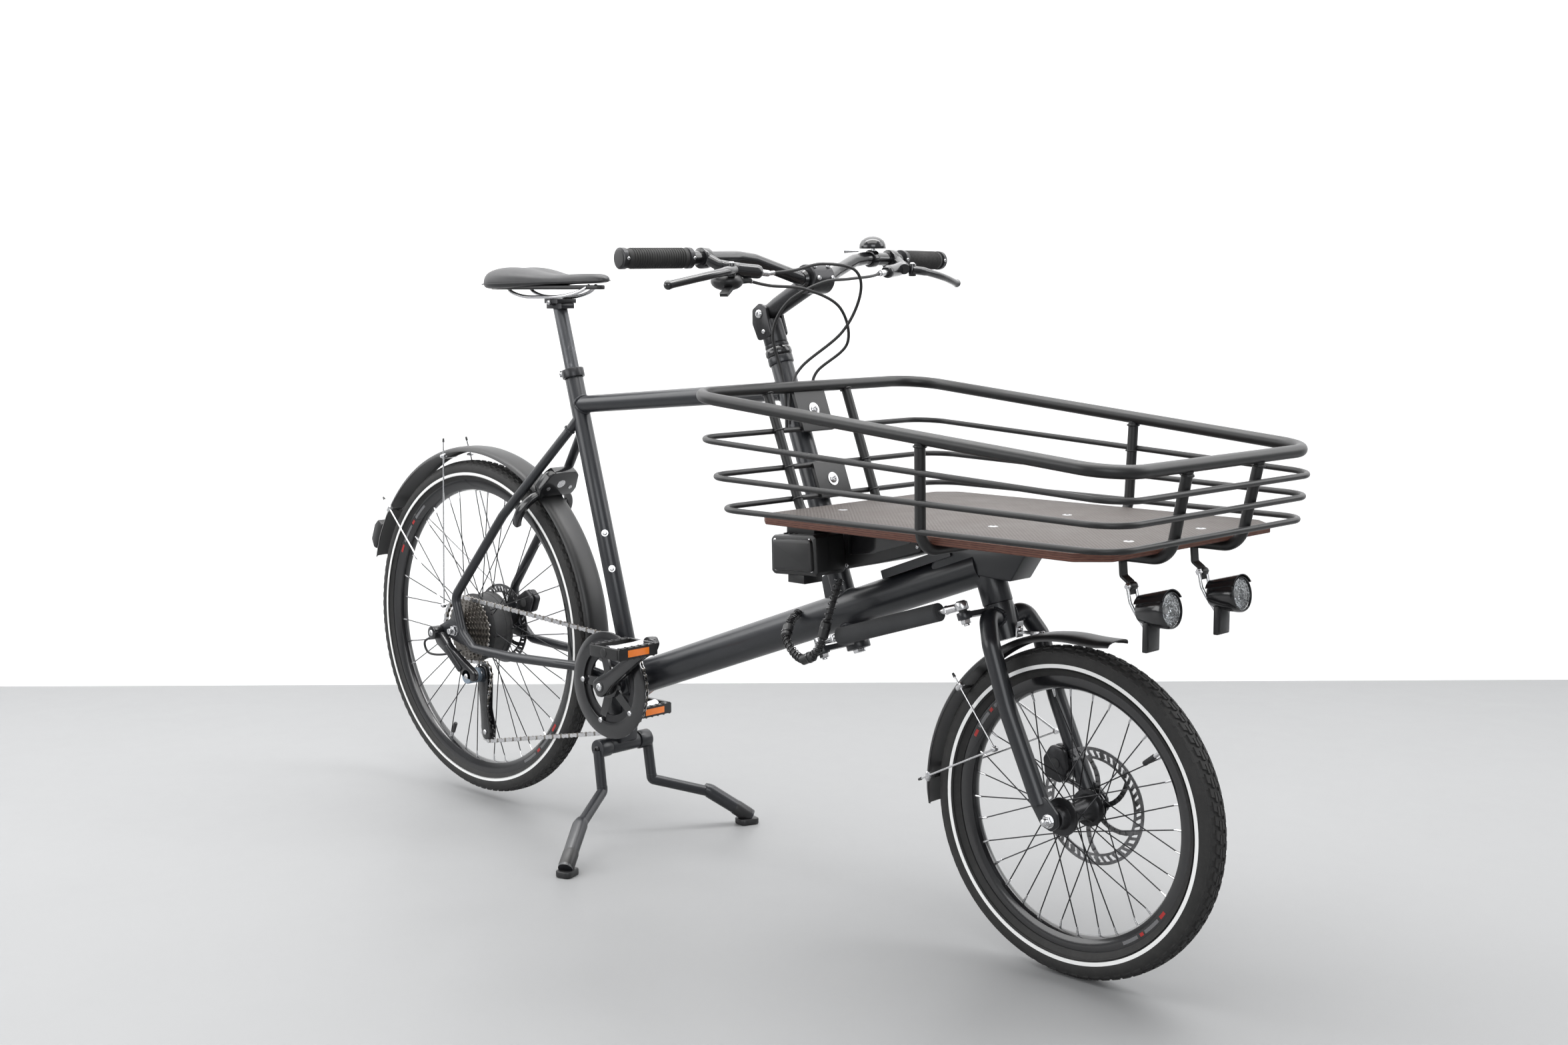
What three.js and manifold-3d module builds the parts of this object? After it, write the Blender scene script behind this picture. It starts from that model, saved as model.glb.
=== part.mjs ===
// Front-loading cargo bicycle: a large rear wheel with a hub motor, a small
// front wheel steered through a tie rod, a long column behind a tubular cargo
// basket with a plywood deck, and a twin-leg centre stand.
//
// Units are millimetres. Bicycle frame of reference: X forward, Y to the
// rider's left, Z up. Every coordinate below is measured from the ground point
// under the rear axle; the last lines move the origin to the middle of the
// bicycle's footprint.

import * as THREE from 'three';
import { mergeVertices } from 'three/addons/utils/BufferGeometryUtils.js';
import Module from 'manifold-3d';

const wasm = await Module();
wasm.setup();

// ---------------------------------------------------------------- dimensions
const ORIGIN_X = 666.66;                // footprint middle, forward of the rear axle

// wheels (ISO 42-584 rear, 47-406 front)
const REAR_AXLE = [0, 0, 349];
const REAR_TYRE_R = 334, REAR_RIM_R = 298.5, REAR_RIM_IN = 273, REAR_TYRE_W = 42;
const FRONT_AXLE = [1444, 0, 250];
const FRONT_TYRE_R = 250, FRONT_RIM_R = 209.5, FRONT_RIM_IN = 185, FRONT_TYRE_W = 47;
const REAR_SPOKES = 36, FRONT_SPOKES = 32, SPOKE_R = 1.25;
const HUB_MOTOR_R = 68, DISC_REAR_R = 80, DISC_FRONT_R = 90;

// frame tubes
const BB = [452, 0, 304];               // crank axle
const SEAT_TOP = [298, 0, 855], SEAT_TUBE_R = 17, SEAT_BORE_R = 14;
const DOWN_TUBE_R = 30, DOWN_END = [1272, 0, 604];
const TOP_TUBE_R = 16, TOP_A = [305, 0, 806], TOP_B = [857, 0, 853];
const STEER_AXIS = [-0.3543, 0, 0.9351]; // both steering axes, parallel
const COLUMN_TOP = [834.5, 0, 909];     // upper end of the column's bearing tube
const COLUMN_TUBE_R = 19, COLUMN_BORE_R = 14, COLUMN_SHAFT_R = 12.5;
const FORK_AXIS_POINT = [1297.5, 0, 543];
const HEAD_TUBE_R = 23.5;
const STAY_R = 9;

// steering linkage: equal arms on both axes, so the rod stays parallel
const ARM = [-10, -72, -3.8];           // ball centre from either axis, square to it
const ROD_R = 5, SLEEVE_R = 14.5;

// cranks
const CRANK = 170, CRANK_ANGLE = 35;    // right arm, degrees above forward
const CHAINRING_R = 89, COG_R = 71, JOCKEY_R = 17;
const CHAIN_Y = -46, CHAIN_W = 7, CHAIN_H = 4.2;

// stand
const STAND_PIVOT = [420, 0, 180];

// basket
const RIM_R = 9.5, RAIL_R = 4.5, POST_R = 8;
const DECK_T = 12;

// ------------------------------------------------------------------- helpers
const V = (x, y, z) => new THREE.Vector3(x, y, z);
const P = (a) => V(a[0], a[1], a[2]);
const rad = (d) => (d * Math.PI) / 180;

function solid(geometry, matrix) {
  const g = geometry.clone();
  if (matrix) g.applyMatrix4(matrix);
  g.deleteAttribute('normal');
  g.deleteAttribute('uv');
  const m = mergeVertices(g, 1e-3);
  const pos = Float32Array.from(m.attributes.position.array);
  const tri = [];
  let volume = 0;
  const ix = m.index.array;
  for (let i = 0; i < ix.length; i += 3) {
    const [a, b, c] = [ix[i], ix[i + 1], ix[i + 2]];
    if (a === b || b === c || a === c) continue;
    tri.push(a, b, c);
    const [p, q, r] = [a, b, c].map((k) => V(pos[3 * k], pos[3 * k + 1], pos[3 * k + 2]));
    volume += p.dot(q.cross(r));
  }
  if (volume < 0) for (let i = 0; i < tri.length; i += 3) [tri[i + 1], tri[i + 2]] = [tri[i + 2], tri[i + 1]];
  return new wasm.Manifold(new wasm.Mesh({ numProp: 3, vertProperties: pos, triVerts: Uint32Array.from(tri) }));
}

const join = (...s) => s.flat().reduce((a, b) => a.add(b));
const cut = (a, ...s) => s.flat().reduce((x, y) => x.subtract(y), a);

// a path through given points: one step per stretch, mitred at each point
class PolyPath extends THREE.Curve {
  constructor(points) { super(); this.points = points; }
  getPoint(t, target = new THREE.Vector3()) {
    const n = this.points.length - 1;
    const f = Math.min(Math.max(t, 0) * n, n);
    const i = Math.min(Math.floor(f + 1e-7), n - 1);
    return target.copy(this.points[i]).lerp(this.points[i + 1], Math.max(0, f - i));
  }
  getPointAt(u, target) { return this.getPoint(u, target); }
  getSpacedPoints(divisions) {
    const out = [];
    for (let i = 0; i <= divisions; i++) out.push(this.getPoint(i / divisions));
    return out;
  }
  getTangent(t, target = new THREE.Vector3()) {
    const n = this.points.length - 1;
    const i = Math.round(t * n);
    const d = V(0, 0, 0);
    if (i > 0) d.add(this.points[i].clone().sub(this.points[i - 1]).normalize());
    if (i < n) d.add(this.points[i + 1].clone().sub(this.points[i]).normalize());
    return target.copy(d.normalize());
  }
  getTangentAt(u, target) { return this.getTangent(u, target); }
}

// rounds the corners of a polyline
function rounded(pts, radius, stepDeg = 20) {
  const p = pts.map(P);
  const out = [p[0]];
  for (let i = 1; i < p.length - 1; i++) {
    const r = Array.isArray(radius) ? radius[i - 1] : radius;
    const u = p[i - 1].clone().sub(p[i]), v = p[i + 1].clone().sub(p[i]);
    const lu = u.length(), lv = v.length();
    u.normalize(); v.normalize();
    const turn = Math.PI - u.angleTo(v);
    if (turn < 0.03 || r < 0.5) { out.push(p[i]); continue; }
    const t = Math.min(r * Math.tan(turn / 2), 0.47 * lu, 0.47 * lv);
    const R = t / Math.tan(turn / 2);
    const c = p[i].clone().add(u.clone().add(v).normalize().multiplyScalar(R / Math.cos(turn / 2)));
    const a = p[i].clone().addScaledVector(u, t).sub(c);
    const b = p[i].clone().addScaledVector(v, t).sub(c);
    const axis = a.clone().cross(b).normalize();
    const n = Math.max(1, Math.ceil(turn / rad(stepDeg)));
    for (let k = 0; k <= n; k++) out.push(c.clone().add(a.clone().applyAxisAngle(axis, (turn * k) / n)));
  }
  out.push(p[p.length - 1]);
  return out;
}

const ngon = (r, sides, phase = 0) => {
  const s = new THREE.Shape();
  for (let i = 0; i < sides; i++) {
    const a = phase + (2 * Math.PI * i) / sides;
    i ? s.lineTo(r * Math.cos(a), r * Math.sin(a)) : s.moveTo(r * Math.cos(a), r * Math.sin(a));
  }
  s.closePath();
  return s;
};
const outline = (pts) => {
  const s = new THREE.Shape();
  pts.forEach(([x, y], i) => (i ? s.lineTo(x, y) : s.moveTo(x, y)));
  s.closePath();
  return s;
};
const sweep = (points, shape) => solid(new THREE.ExtrudeGeometry(shape, {
  steps: points.length - 1, curveSegments: 1, bevelEnabled: false, extrudePath: new PolyPath(points),
}));
const tube = (points, r, sides = 10) => sweep(points.map((p) => (p.isVector3 ? p : P(p))), ngon(r, sides, Math.PI / sides));

// matrix that stands local Y along a direction, from a point
function along(from, dir) {
  const q = new THREE.Quaternion().setFromUnitVectors(V(0, 1, 0), dir.clone().normalize());
  return new THREE.Matrix4().compose(from, q, V(1, 1, 1));
}
function cone(a, b, ra, rb, sides = 14) {
  a = a.isVector3 ? a : P(a); b = b.isVector3 ? b : P(b);
  const d = b.clone().sub(a);
  const g = new THREE.CylinderGeometry(rb, ra, d.length(), sides);
  g.rotateY(Math.PI / sides);
  return solid(g, along(a.clone().add(b).multiplyScalar(0.5), d));
}
const rod = (a, b, r, sides = 14) => cone(a, b, r, r, sides);
const ball = (c, r, w = 10, h = 7) => solid(new THREE.SphereGeometry(r, w, h), new THREE.Matrix4().makeTranslation(c[0], c[1], c[2]));
const lathe = (profile, segs, from, dir) => solid(
  new THREE.LatheGeometry([...profile, profile[0]].map(([r, y]) => new THREE.Vector2(r, y)), segs), along(P(from), P(dir)));
const box = (x0, y0, z0, x1, y1, z1) => solid(new THREE.BoxGeometry(x1 - x0, y1 - y0, z1 - z0),
  new THREE.Matrix4().makeTranslation((x0 + x1) / 2, (y0 + y1) / 2, (z0 + z1) / 2));
// outline in (X, Z), between two values of Y
const slabY = (pts, y0, y1) => solid(new THREE.ExtrudeGeometry(outline(pts), { depth: y1 - y0, bevelEnabled: false, curveSegments: 1 }),
  new THREE.Matrix4().makeBasis(V(1, 0, 0), V(0, 0, 1), V(0, -1, 0)).setPosition(0, y1, 0));
// outline in (X, Y), between two values of Z
const slabZ = (pts, z0, z1) => solid(new THREE.ExtrudeGeometry(outline(pts), { depth: z1 - z0, bevelEnabled: false, curveSegments: 1 }),
  new THREE.Matrix4().makeTranslation(0, 0, z0));
// rectangular bar from a to b; w is its width square to `up`, h its height along `up`
function bar(a, b, w, h, up = [0, 0, 1]) {
  a = P(a); b = P(b);
  const z = b.clone().sub(a), len = z.length();
  z.normalize();
  const x = P(up).cross(z).normalize(), y = z.clone().cross(x);
  return solid(new THREE.BoxGeometry(w, h, len),
    new THREE.Matrix4().makeBasis(x, y, z).setPosition(a.clone().add(b).multiplyScalar(0.5)));
}
const arcXZ = (c, r, d0, d1, n, y = 0) => Array.from({ length: n + 1 }, (_, i) => {
  const t = rad(d0 + ((d1 - d0) * i) / n);
  return V(c[0] + r * Math.cos(t), y, c[2] + r * Math.sin(t));
});
const at = (c, r, deg, y) => [c[0] + r * Math.cos(rad(deg)), y, c[2] + r * Math.sin(rad(deg))];
const onAxis = (p, k) => [p[0] + STEER_AXIS[0] * k, p[1] + STEER_AXIS[1] * k, p[2] + STEER_AXIS[2] * k];
const mirrorY = (pts) => pts.map(([x, y, z]) => [x, -y, z]);
const lerp3 = (a, b, t) => a.map((v, i) => v + (b[i] - v) * t);

// ------------------------------------------------------------ scene building
const bicycle = new THREE.Group();
const COLORS = {
  frame: [0x1b1c1f, 0.5, 0.3], basket: [0x101012, 0.5, 0.2], rubber: [0x161616, 0.85, 0], rim: [0x0b0b0c, 0.35, 0.4],
  black: [0x0c0c0d, 0.3, 0.1], matte: [0x1a1a1b, 0.7, 0], steel: [0xb8babd, 0.3, 0.9], worn: [0x6f7276, 0.4, 0.7],
  wood: [0x4a3a30, 0.7, 0], lamp: [0x0d0d0e, 0.3, 0], red: [0x5a0d0d, 0.3, 0], foam: [0x1f1f20, 0.95, 0],
};
function group(datum, parent = bicycle, parentDatum = [0, 0, 0]) {
  const g = new THREE.Group();
  g.position.set(datum[0] - parentDatum[0], datum[1] - parentDatum[1], datum[2] - parentDatum[2]);
  g.userData.datum = datum;
  parent.add(g);
  return g;
}
function add(parent, name, s, look) {
  const m = s.getMesh();
  const g = new THREE.BufferGeometry();
  const d = parent.userData.datum ?? [0, 0, 0];
  const n = m.vertProperties.length / m.numProp;
  const p = new Float32Array(3 * n);
  for (let i = 0; i < n; i++) for (let k = 0; k < 3; k++) p[3 * i + k] = m.vertProperties[m.numProp * i + k] - d[k];
  g.setAttribute('position', new THREE.BufferAttribute(p, 3));
  g.setIndex(new THREE.BufferAttribute(Uint32Array.from(m.triVerts), 1));
  g.computeVertexNormals();
  const [color, roughness, metalness] = COLORS[look];
  const mesh = new THREE.Mesh(g, new THREE.MeshStandardMaterial({ color, roughness, metalness }));
  mesh.name = name;
  parent.add(mesh);
}

// ------------------------------------------------------------------ the frame
const columnBottom = onAxis(COLUMN_TOP, -476);
const boreLong = rod(onAxis(COLUMN_TOP, 30), onAxis(COLUMN_TOP, -500), COLUMN_BORE_R, 10);
const headTop = onAxis(FORK_AXIS_POINT, 90), headBot = onAxis(FORK_AXIS_POINT, 4);
const seatDir = P(SEAT_TOP).sub(P([455.5, 0, 304])).normalize();
const seatAt = (k) => P(SEAT_TOP).addScaledVector(seatDir, k).toArray();
// bosses on the column that the basket's two plates bolt to
const PLATE_OUT = 40;                   // the plates' middle, square to the column's axis
const bossAt = (k) => { const c = onAxis(COLUMN_TOP, -k); return rod(c, [c[0] + STEER_AXIS[2] * (PLATE_OUT - 3.5), 0, c[2] - STEER_AXIS[0] * (PLATE_OUT - 3.5)], 9, 10); };

let mainFrame = join(
  rod([452, -36, 304], [452, 36, 304], 21, 14),
  rod([452, 0, 304], DOWN_END, DOWN_TUBE_R, 14),
  rod([455.5, 0, 304], SEAT_TOP, SEAT_TUBE_R, 12),
  rod(TOP_A, TOP_B, TOP_TUBE_R, 10),
  rod(COLUMN_TOP, columnBottom, COLUMN_TUBE_R, 12),
  rod(COLUMN_TOP, onAxis(COLUMN_TOP, -14), 21.5, 12),
  rod(headTop, headBot, HEAD_TUBE_R, 14),
  // folded gusset between the head tube and the basket's tubes, with its flange
  slabY([[1180, 590], [1215, 644], [1374, 644], [1338, 587], [1262, 590]], -26, 26),
  box(1192, -56, 642, 1391, 56, 648.5),
  // tray under the battery case
  bar([1086, 0, 571], [1225, 0, 622], 60, 14),
  // gusset behind the column, on the down tube
  slabY([[932, 548], [944, 500], [1000, 520], [962, 566]], -5, 5),
  // bracket of the centre stand
  slabY([[400, 300], [446, 290], [440, 186], [402, 186]], -20, 20),
  rod([420, -34, 180], [420, 34, 180], 15, 12),
  bossAt(99), bossAt(228),
);
mainFrame = cut(mainFrame,
  rod([452, -45, 304], [452, 45, 304], 12.9, 10),
  boreLong,
  rod(onAxis(FORK_AXIS_POINT, 100), onAxis(FORK_AXIS_POINT, -10), 14.5, 10),
  rod(seatAt(10), seatAt(-270), SEAT_BORE_R, 12),
  rod([420, -45, 180], [420, 45, 180], 8.4, 10),
);
add(bicycle, 'main_frame', mainFrame, 'frame');

// rear stays: each side is one bent tube with a dropout plate inside the bend
const stayPath = rounded([[303, -14, 762], [288, -20, 744], [150, -60, 590], [6, -72, 418], [28, -72, 350], [62, -72, 322],
  [182, -68, 320], [296, -53, 322], [345, -35, 320], [432, -30, 308]], [20, 60, 26, 30, 26, 60, 40, 40], 30);
const keepOff = join(
  rod([452, -60, 304], [452, 60, 304], 21.5, 14),
  rod([455.5, 0, 304], seatAt(20), SEAT_TUBE_R + 0.6, 12),
  rod([452, 0, 304], DOWN_END, DOWN_TUBE_R + 0.6, 14),
  slabY([[399, 301], [447, 291], [441, 185], [401, 185]], -20.6, 20.6),
);
function stay(s) {
  const path = stayPath.map((p) => V(p.x, p.y * -s, p.z));
  const y0 = s > 0 ? 63 : -70, y1 = s > 0 ? 70 : -63;
  const plate = slabY(s < 0
    ? [[2, 412], [-14, 372], [-56, 352], [-64, 338], [-52, 330], [-20, 334], [0, 328], [34, 322], [60, 318], [34, 352]]
    : [[2, 412], [-14, 372], [-16, 340], [0, 328], [34, 322], [60, 318], [34, 352], [20, 395]], y0, y1);
  return cut(join(tube(path, STAY_R, 8), plate), rod([0, y0 - 5, 349], [0, y1 + 5, 349], 6.6, 8), keepOff);
}
add(bicycle, 'rear_stay_right', stay(-1), 'frame');
add(bicycle, 'rear_stay_left', stay(1), 'frame');

add(bicycle, 'seat_clamp', cut(join(
  rod(seatAt(0.4), seatAt(17), 21, 12), bar([277, -12, 862], [277, 12, 862], 16, 13)),
rod(seatAt(-5), seatAt(30), SEAT_BORE_R, 12), rod(seatAt(-12), seatAt(0.4), 30, 12)), 'black');

// ------------------------------------------------------- seat post and saddle
const seat = group([298, 0, 862]);
const postTop = seatAt(140);
add(seat, 'seatpost', join(
  rod(seatAt(-115), postTop, 13.2, 12),
  bar([postTop[0] - 22, 0, postTop[2] + 2], [postTop[0] + 26, 0, postTop[2] + 2], 34, 18),
  rod([postTop[0], -24, postTop[2] + 8], [postTop[0], 24, postTop[2] + 8], 7, 8),
  tube(rounded([[138, -26, 1020], [180, -24, 1006], [270, -22, 1006], [352, -8, 1022]], 40), 3.6, 6),
  tube(rounded([[138, 26, 1020], [180, 24, 1006], [270, 22, 1006], [352, 8, 1022]], 40), 3.6, 6),
), 'worn');
// saddle: stations along its length, each a crowned section
const saddleStations = [[104, 54, 1050, 1024], [120, 74, 1060, 1019], [150, 80, 1063, 1019], [190, 72, 1059, 1021], [230, 54, 1051, 1026],
  [270, 37, 1046, 1029], [320, 25, 1048, 1030], [365, 21, 1049, 1031], [388, 15, 1046, 1032], [396, 6, 1041, 1034]];
{
  const ring = (x, w, top, bot) => [[w, bot + 6], [w * 0.93, bot + (top - bot) * 0.7], [w * 0.6, top - 1.5], [0, top],
    [-w * 0.6, top - 1.5], [-w * 0.93, bot + (top - bot) * 0.7], [-w, bot + 6], [-w * 0.75, bot], [w * 0.75, bot]].map(([y, z]) => [x, y, z]);
  const rings = saddleStations.map((s) => ring(...s));
  const n = rings[0].length, pos = [], tri = [];
  rings.flat().forEach((p) => pos.push(...p));
  for (let i = 0; i < rings.length - 1; i++) for (let k = 0; k < n; k++) {
    const a = i * n + k, b = i * n + ((k + 1) % n), c = a + n, d = b + n;
    tri.push(a, b, d, a, d, c);
  }
  for (let k = 1; k < n - 1; k++) { tri.push(0, k + 1, k); const o = (rings.length - 1) * n; tri.push(o, o + k, o + k + 1); }
  const g = new THREE.BufferGeometry();
  g.setAttribute('position', new THREE.BufferAttribute(Float32Array.from(pos), 3));
  g.setAttribute('normal', new THREE.BufferAttribute(new Float32Array(pos.length), 3));
  g.setIndex(tri);
  add(seat, 'saddle', cut(solid(g),
    tube(rounded([[138, -26, 1020], [180, -24, 1006], [270, -22, 1006], [352, -8, 1022]], 40), 4.2, 6),
    tube(rounded([[138, 26, 1020], [180, 24, 1006], [270, 22, 1006], [352, 8, 1022]], 40), 4.2, 6)), 'matte');
}

// ----------------------------------------------------- rear mudguard and light
const guardSection = (w, r) => outline([[-w, r - 10], [-w * 0.86, r - 3], [-w * 0.45, r + 0.4], [w * 0.45, r + 0.4], [w * 0.86, r - 3], [w, r - 10],
  [w - 2, r - 10.6], [w * 0.6, r - 3.6], [-w * 0.6, r - 3.6], [-w + 2, r - 10.6]]);
// the sweep's section has Y mirrored on its first coordinate and the radius on its second
const mudguard = (axle, r, d0, d1, n, w) => sweep(arcXZ(axle, r, d0, d1, n), guardSection(w, 0));
add(bicycle, 'rear_mudguard', mudguard(REAR_AXLE, 362, -1.5, 162, 18, 27.5), 'black');

function guardStays(axle, foot, R, angles, w, overshoot, gapAngle) {
  // wires from a foot on each side, clamped to a strap that crosses inside the guard
  const parts = [];
  for (const deg of angles) {
    const c = at(axle, R, deg, 0);
    const tang = [-Math.sin(rad(deg)), 0, Math.cos(rad(deg))];
    for (const s of [-1, 1]) {
      const clamp = [c[0], s * w, c[2]];
      const f = [foot[0], s * foot[1], foot[2]];
      const dir = P(clamp).sub(P(f)).normalize();
      const end = P(clamp).addScaledVector(dir, overshoot);
      parts.push(tube([P(f), P(clamp), end], 1.7, 4));
      parts.push(bar([c[0] - tang[0] * 6, s * w, c[2] - tang[2] * 6], [c[0] + tang[0] * 6, s * w, c[2] + tang[2] * 6], 5, 9, [Math.cos(rad(deg)), 0, Math.sin(rad(deg))]));
    }
    const b = at(axle, R - 4, deg, 0);
    parts.push(bar([b[0], -w - 1, b[2]], [b[0], w + 1, b[2]], 8, 1.6, [Math.cos(rad(deg)), 0, Math.sin(rad(deg))]));
  }
  for (const s of [-1, 1]) parts.push(rod([foot[0], s * (foot[1] - 3), foot[2]], [foot[0], s * (foot[1] + 4), foot[2]], 4.5, 6));
  return join(parts);
}
add(bicycle, 'rear_mudguard_stays', guardStays(REAR_AXLE, [-24, 78, 398], 348, [102.5, 141], 33, 34), 'steel');
add(bicycle, 'rear_light', slabY([150.5, 153, 158, 160].flatMap((d, i) => [[...at(REAR_AXLE, [386, 390, 389, 376][i], d, 0)].filter((_, k) => k !== 1)])
  .concat([160, 150.5].map((d) => at(REAR_AXLE, 365.2, d, 0).filter((_, k) => k !== 1))), -21, 21), 'black');

// ------------------------------------------------------------------ ring lock
const LOCK_DEG = 54, LOCK_R = 316, LOCK_T = -14, RING = 57;
const lockRad = V(Math.cos(rad(LOCK_DEG)), 0, Math.sin(rad(LOCK_DEG)));
const lockTan = V(-Math.sin(rad(LOCK_DEG)), 0, Math.cos(rad(LOCK_DEG)));
const lockC = P(REAR_AXLE).addScaledVector(lockRad, LOCK_R).addScaledVector(lockTan, LOCK_T);
const lockPt = (y, r) => lockC.clone().addScaledVector(lockRad, r).add(V(0, y, 0));
const ringArc = (r, d0, d1, n) => Array.from({ length: n + 1 }, (_, i) => {
  const t = rad(d0 + ((d1 - d0) * i) / n);
  return lockPt(r * Math.cos(t), r * Math.sin(t));
});
const lockBasis = new THREE.Matrix4().makeBasis(V(0, 1, 0), lockRad, lockTan.clone().negate()).setPosition(lockC);
{
  const d = [];
  for (let i = 0; i <= 10; i++) { const t = rad(-26 + (232 * i) / 10); d.push([(RING + 7.5) * Math.cos(t), (RING + 7.5) * Math.sin(t)]); }
  for (let i = 10; i >= 0; i--) { const t = rad(-26 + (232 * i) / 10); d.push([(RING - 7) * Math.cos(t), (RING - 7) * Math.sin(t)]); }
  const horseshoe = solid(new THREE.ExtrudeGeometry(outline(d), { depth: 17, bevelEnabled: false }), lockBasis.clone().multiply(new THREE.Matrix4().makeTranslation(0, 0, -8.5)));
  const housing = solid(new THREE.ExtrudeGeometry(outline([[-40, 50], [40, 50], [44, 66], [36, 98], [26, 108], [-26, 108], [-36, 98], [-44, 66]]), { depth: 19, bevelEnabled: false }),
    lockBasis.clone().multiply(new THREE.Matrix4().makeTranslation(0, 0, -7)));
  add(bicycle, 'ring_lock_body', cut(join(horseshoe, housing), tube(ringArc(RING, -30, 210, 14), 5.2, 6),
    rod(lockPt(0, 0).addScaledVector(lockTan, 14), lockPt(0, 0).addScaledVector(lockTan, -14), RING - 7.2, 16)), 'black');
}
const lockGroup = group(lockC.toArray());
add(lockGroup, 'ring_lock_bolt', tube(ringArc(RING, -23, 117, 10), 3.6, 6), 'steel');

// ------------------------------------------------------------- centre stand
const stand = group(STAND_PIVOT);
{
  const parts = [rod([420, -58, 180], [420, 58, 180], 7.6, 10)];
  for (const s of [-1, 1]) {
    parts.push(rod([420, s * 35.5, 180], [421, s * 62, 180], 17, 10));
    parts.push(cone([421, s * 59.6, 176], [432, s * 61, 102], 9.6, 9.8, 8));
    parts.push(cone([430.5, s * 57.5, 104], [487, s * 162, 67], 11, 11, 8));
    parts.push(cone([485, s * 158, 71], [527, s * 228, 14], 13.5, 13.5, 8));
    parts.push(slabZ([[500, s * 206], [516, s * 244], [546, s * 236], [534, s * 200]], 0, 12));
    parts.push(cone([519, s * 215, 24], [527, s * 228, 6], 14, 15, 8));
  }
  add(stand, 'kickstand', join(parts).subtract(box(300, -400, -60, 700, 400, 0)), 'black');
}

// --------------------------------------------------------------- rear wheel
function wheel(g, axle, tag, tyreR, tyreW, rimR, rimIn, segs) {
  const h = tyreW / 2;
  add(g, `${tag}_tyre`, lathe([[rimR + 0.7, -h * 0.78], [rimR + 8, -h], [tyreR - 12, -h * 0.96], [tyreR - 2, -h * 0.45],
    [tyreR, 0], [tyreR - 2, h * 0.45], [tyreR - 12, h * 0.96], [rimR + 8, h], [rimR + 0.7, h * 0.78]], segs, axle, [0, 1, 0]), 'rubber');
  add(g, `${tag}_rim`, lathe([[rimR, -14], [rimR, 14], [rimIn + 9, 12.5], [rimIn, 7], [rimIn, -7], [rimIn + 9, -12.5]], segs, axle, [0, 1, 0]), 'rim');
}
// spokes from just outside the hub's flanges to the strip inside the rim that holds their nipples
function spokes(axle, n, hubR, hubY, rimIn, cross, phase) {
  const parts = [lathe([[rimIn - 0.5, -5.5], [rimIn - 0.5, 5.5], [rimIn - 2.5, 5.5], [rimIn - 2.5, -5.5]], 36, axle, [0, 1, 0])];
  for (let i = 0; i < n; i++) {
    const side = i % 2 ? 1 : -1;
    const lead = Math.floor(i / 2) % 2 ? 1 : -1;
    const rim = phase + (360 * i) / n;
    parts.push(rod(at(axle, hubR + 1.6, rim + lead * cross, side * (hubY + lead * 2)), at(axle, rimIn - 2.2, rim, side * (3.5 + lead * 0.4)), SPOKE_R, 3));
  }
  return join(parts);
}
const disc = (axle, y, r, hub) => {
  const ring = lathe([[r, y], [r, y + 1.9], [r - 16, y + 1.9], [r - 16, y]], 18, [axle[0], 0, axle[2]], [0, 1, 0]);
  const arms = [0, 72, 144, 216, 288].map((d) => bar(at(axle, hub - 3, d, y + 0.95), at(axle, r - 12, d + 22, y + 0.95), 1.9, 9, at([0, 0, 0], 1, d + 101, 0)));
  return join([ring, ...arms, lathe([[hub, y], [hub, y + 1.9], [hub - 8, y + 1.9], [hub - 8, y]], 10, [axle[0], 0, axle[2]], [0, 1, 0])]);
};
const rearWheel = group(REAR_AXLE);
wheel(rearWheel, REAR_AXLE, 'rear', REAR_TYRE_R, REAR_TYRE_W, REAR_RIM_R, REAR_RIM_IN, 36);
add(rearWheel, 'rear_hub_motor', cut(join([
  lathe([[9, -33], [38, -33], [58, -27], [HUB_MOTOR_R, -20], [HUB_MOTOR_R - 3, -16], [HUB_MOTOR_R - 3, 16],
    [HUB_MOTOR_R, 20], [58, 28], [26, 33], [22, 50], [9, 50]], 18, REAR_AXLE, [0, 1, 0]),
  disc(REAR_AXLE, 46, DISC_REAR_R, 24)]), rod([0, -80, 349], [0, 80, 349], 8.6, 10)), 'matte');
add(rearWheel, 'rear_spokes', spokes(REAR_AXLE, REAR_SPOKES, HUB_MOTOR_R, 20, REAR_RIM_IN, 14, 4), 'steel');
// freewheel sprockets on their own bearing
const cassetteGroup = group(REAR_AXLE);
add(cassetteGroup, 'cassette', lathe([[9, -33.6], [66, -33.6], [66, -36], [55, -37.5], [55, -41], [44, -42.5], [44, -47], [34, -48.5], [34, -52], [26, -53],
  [26, -58], [9, -58]], 18, REAR_AXLE, [0, 1, 0]), 'worn');
add(bicycle, 'rear_axle', join(rod([0, -86, 349], [0, 86, 349], 5.7, 8), rod([0, -80, 349], [0, -70.4, 349], 10, 6), rod([0, 80, 349], [0, 70.4, 349], 10, 6),
  rod([0, -62.6, 349], [0, -58.6, 349], 11, 8), rod([0, 62.6, 349], [0, 51, 349], 11, 8)), 'steel');
add(bicycle, 'rear_brake_caliper', cut(join(
  slabY([[62, 372], [96, 384], [108, 412], [88, 428], [58, 410]], 38, 62), bar([60, 60, 405], [30, 64, 385], 12, 7, [0, 1, 0])),
lathe([[84, 43.5], [84, 51], [1, 51], [1, 43.5]], 28, [0, 0, 349], [0, 1, 0]), tube(stayPath.map((p) => V(p.x, -p.y, p.z)), STAY_R + 0.5, 8),
slabY([[2, 413], [-14, 372], [-16, 339], [0, 327], [34, 321], [61, 317], [35, 353], [21, 396]], 62.5, 70.5)), 'black');

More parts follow.
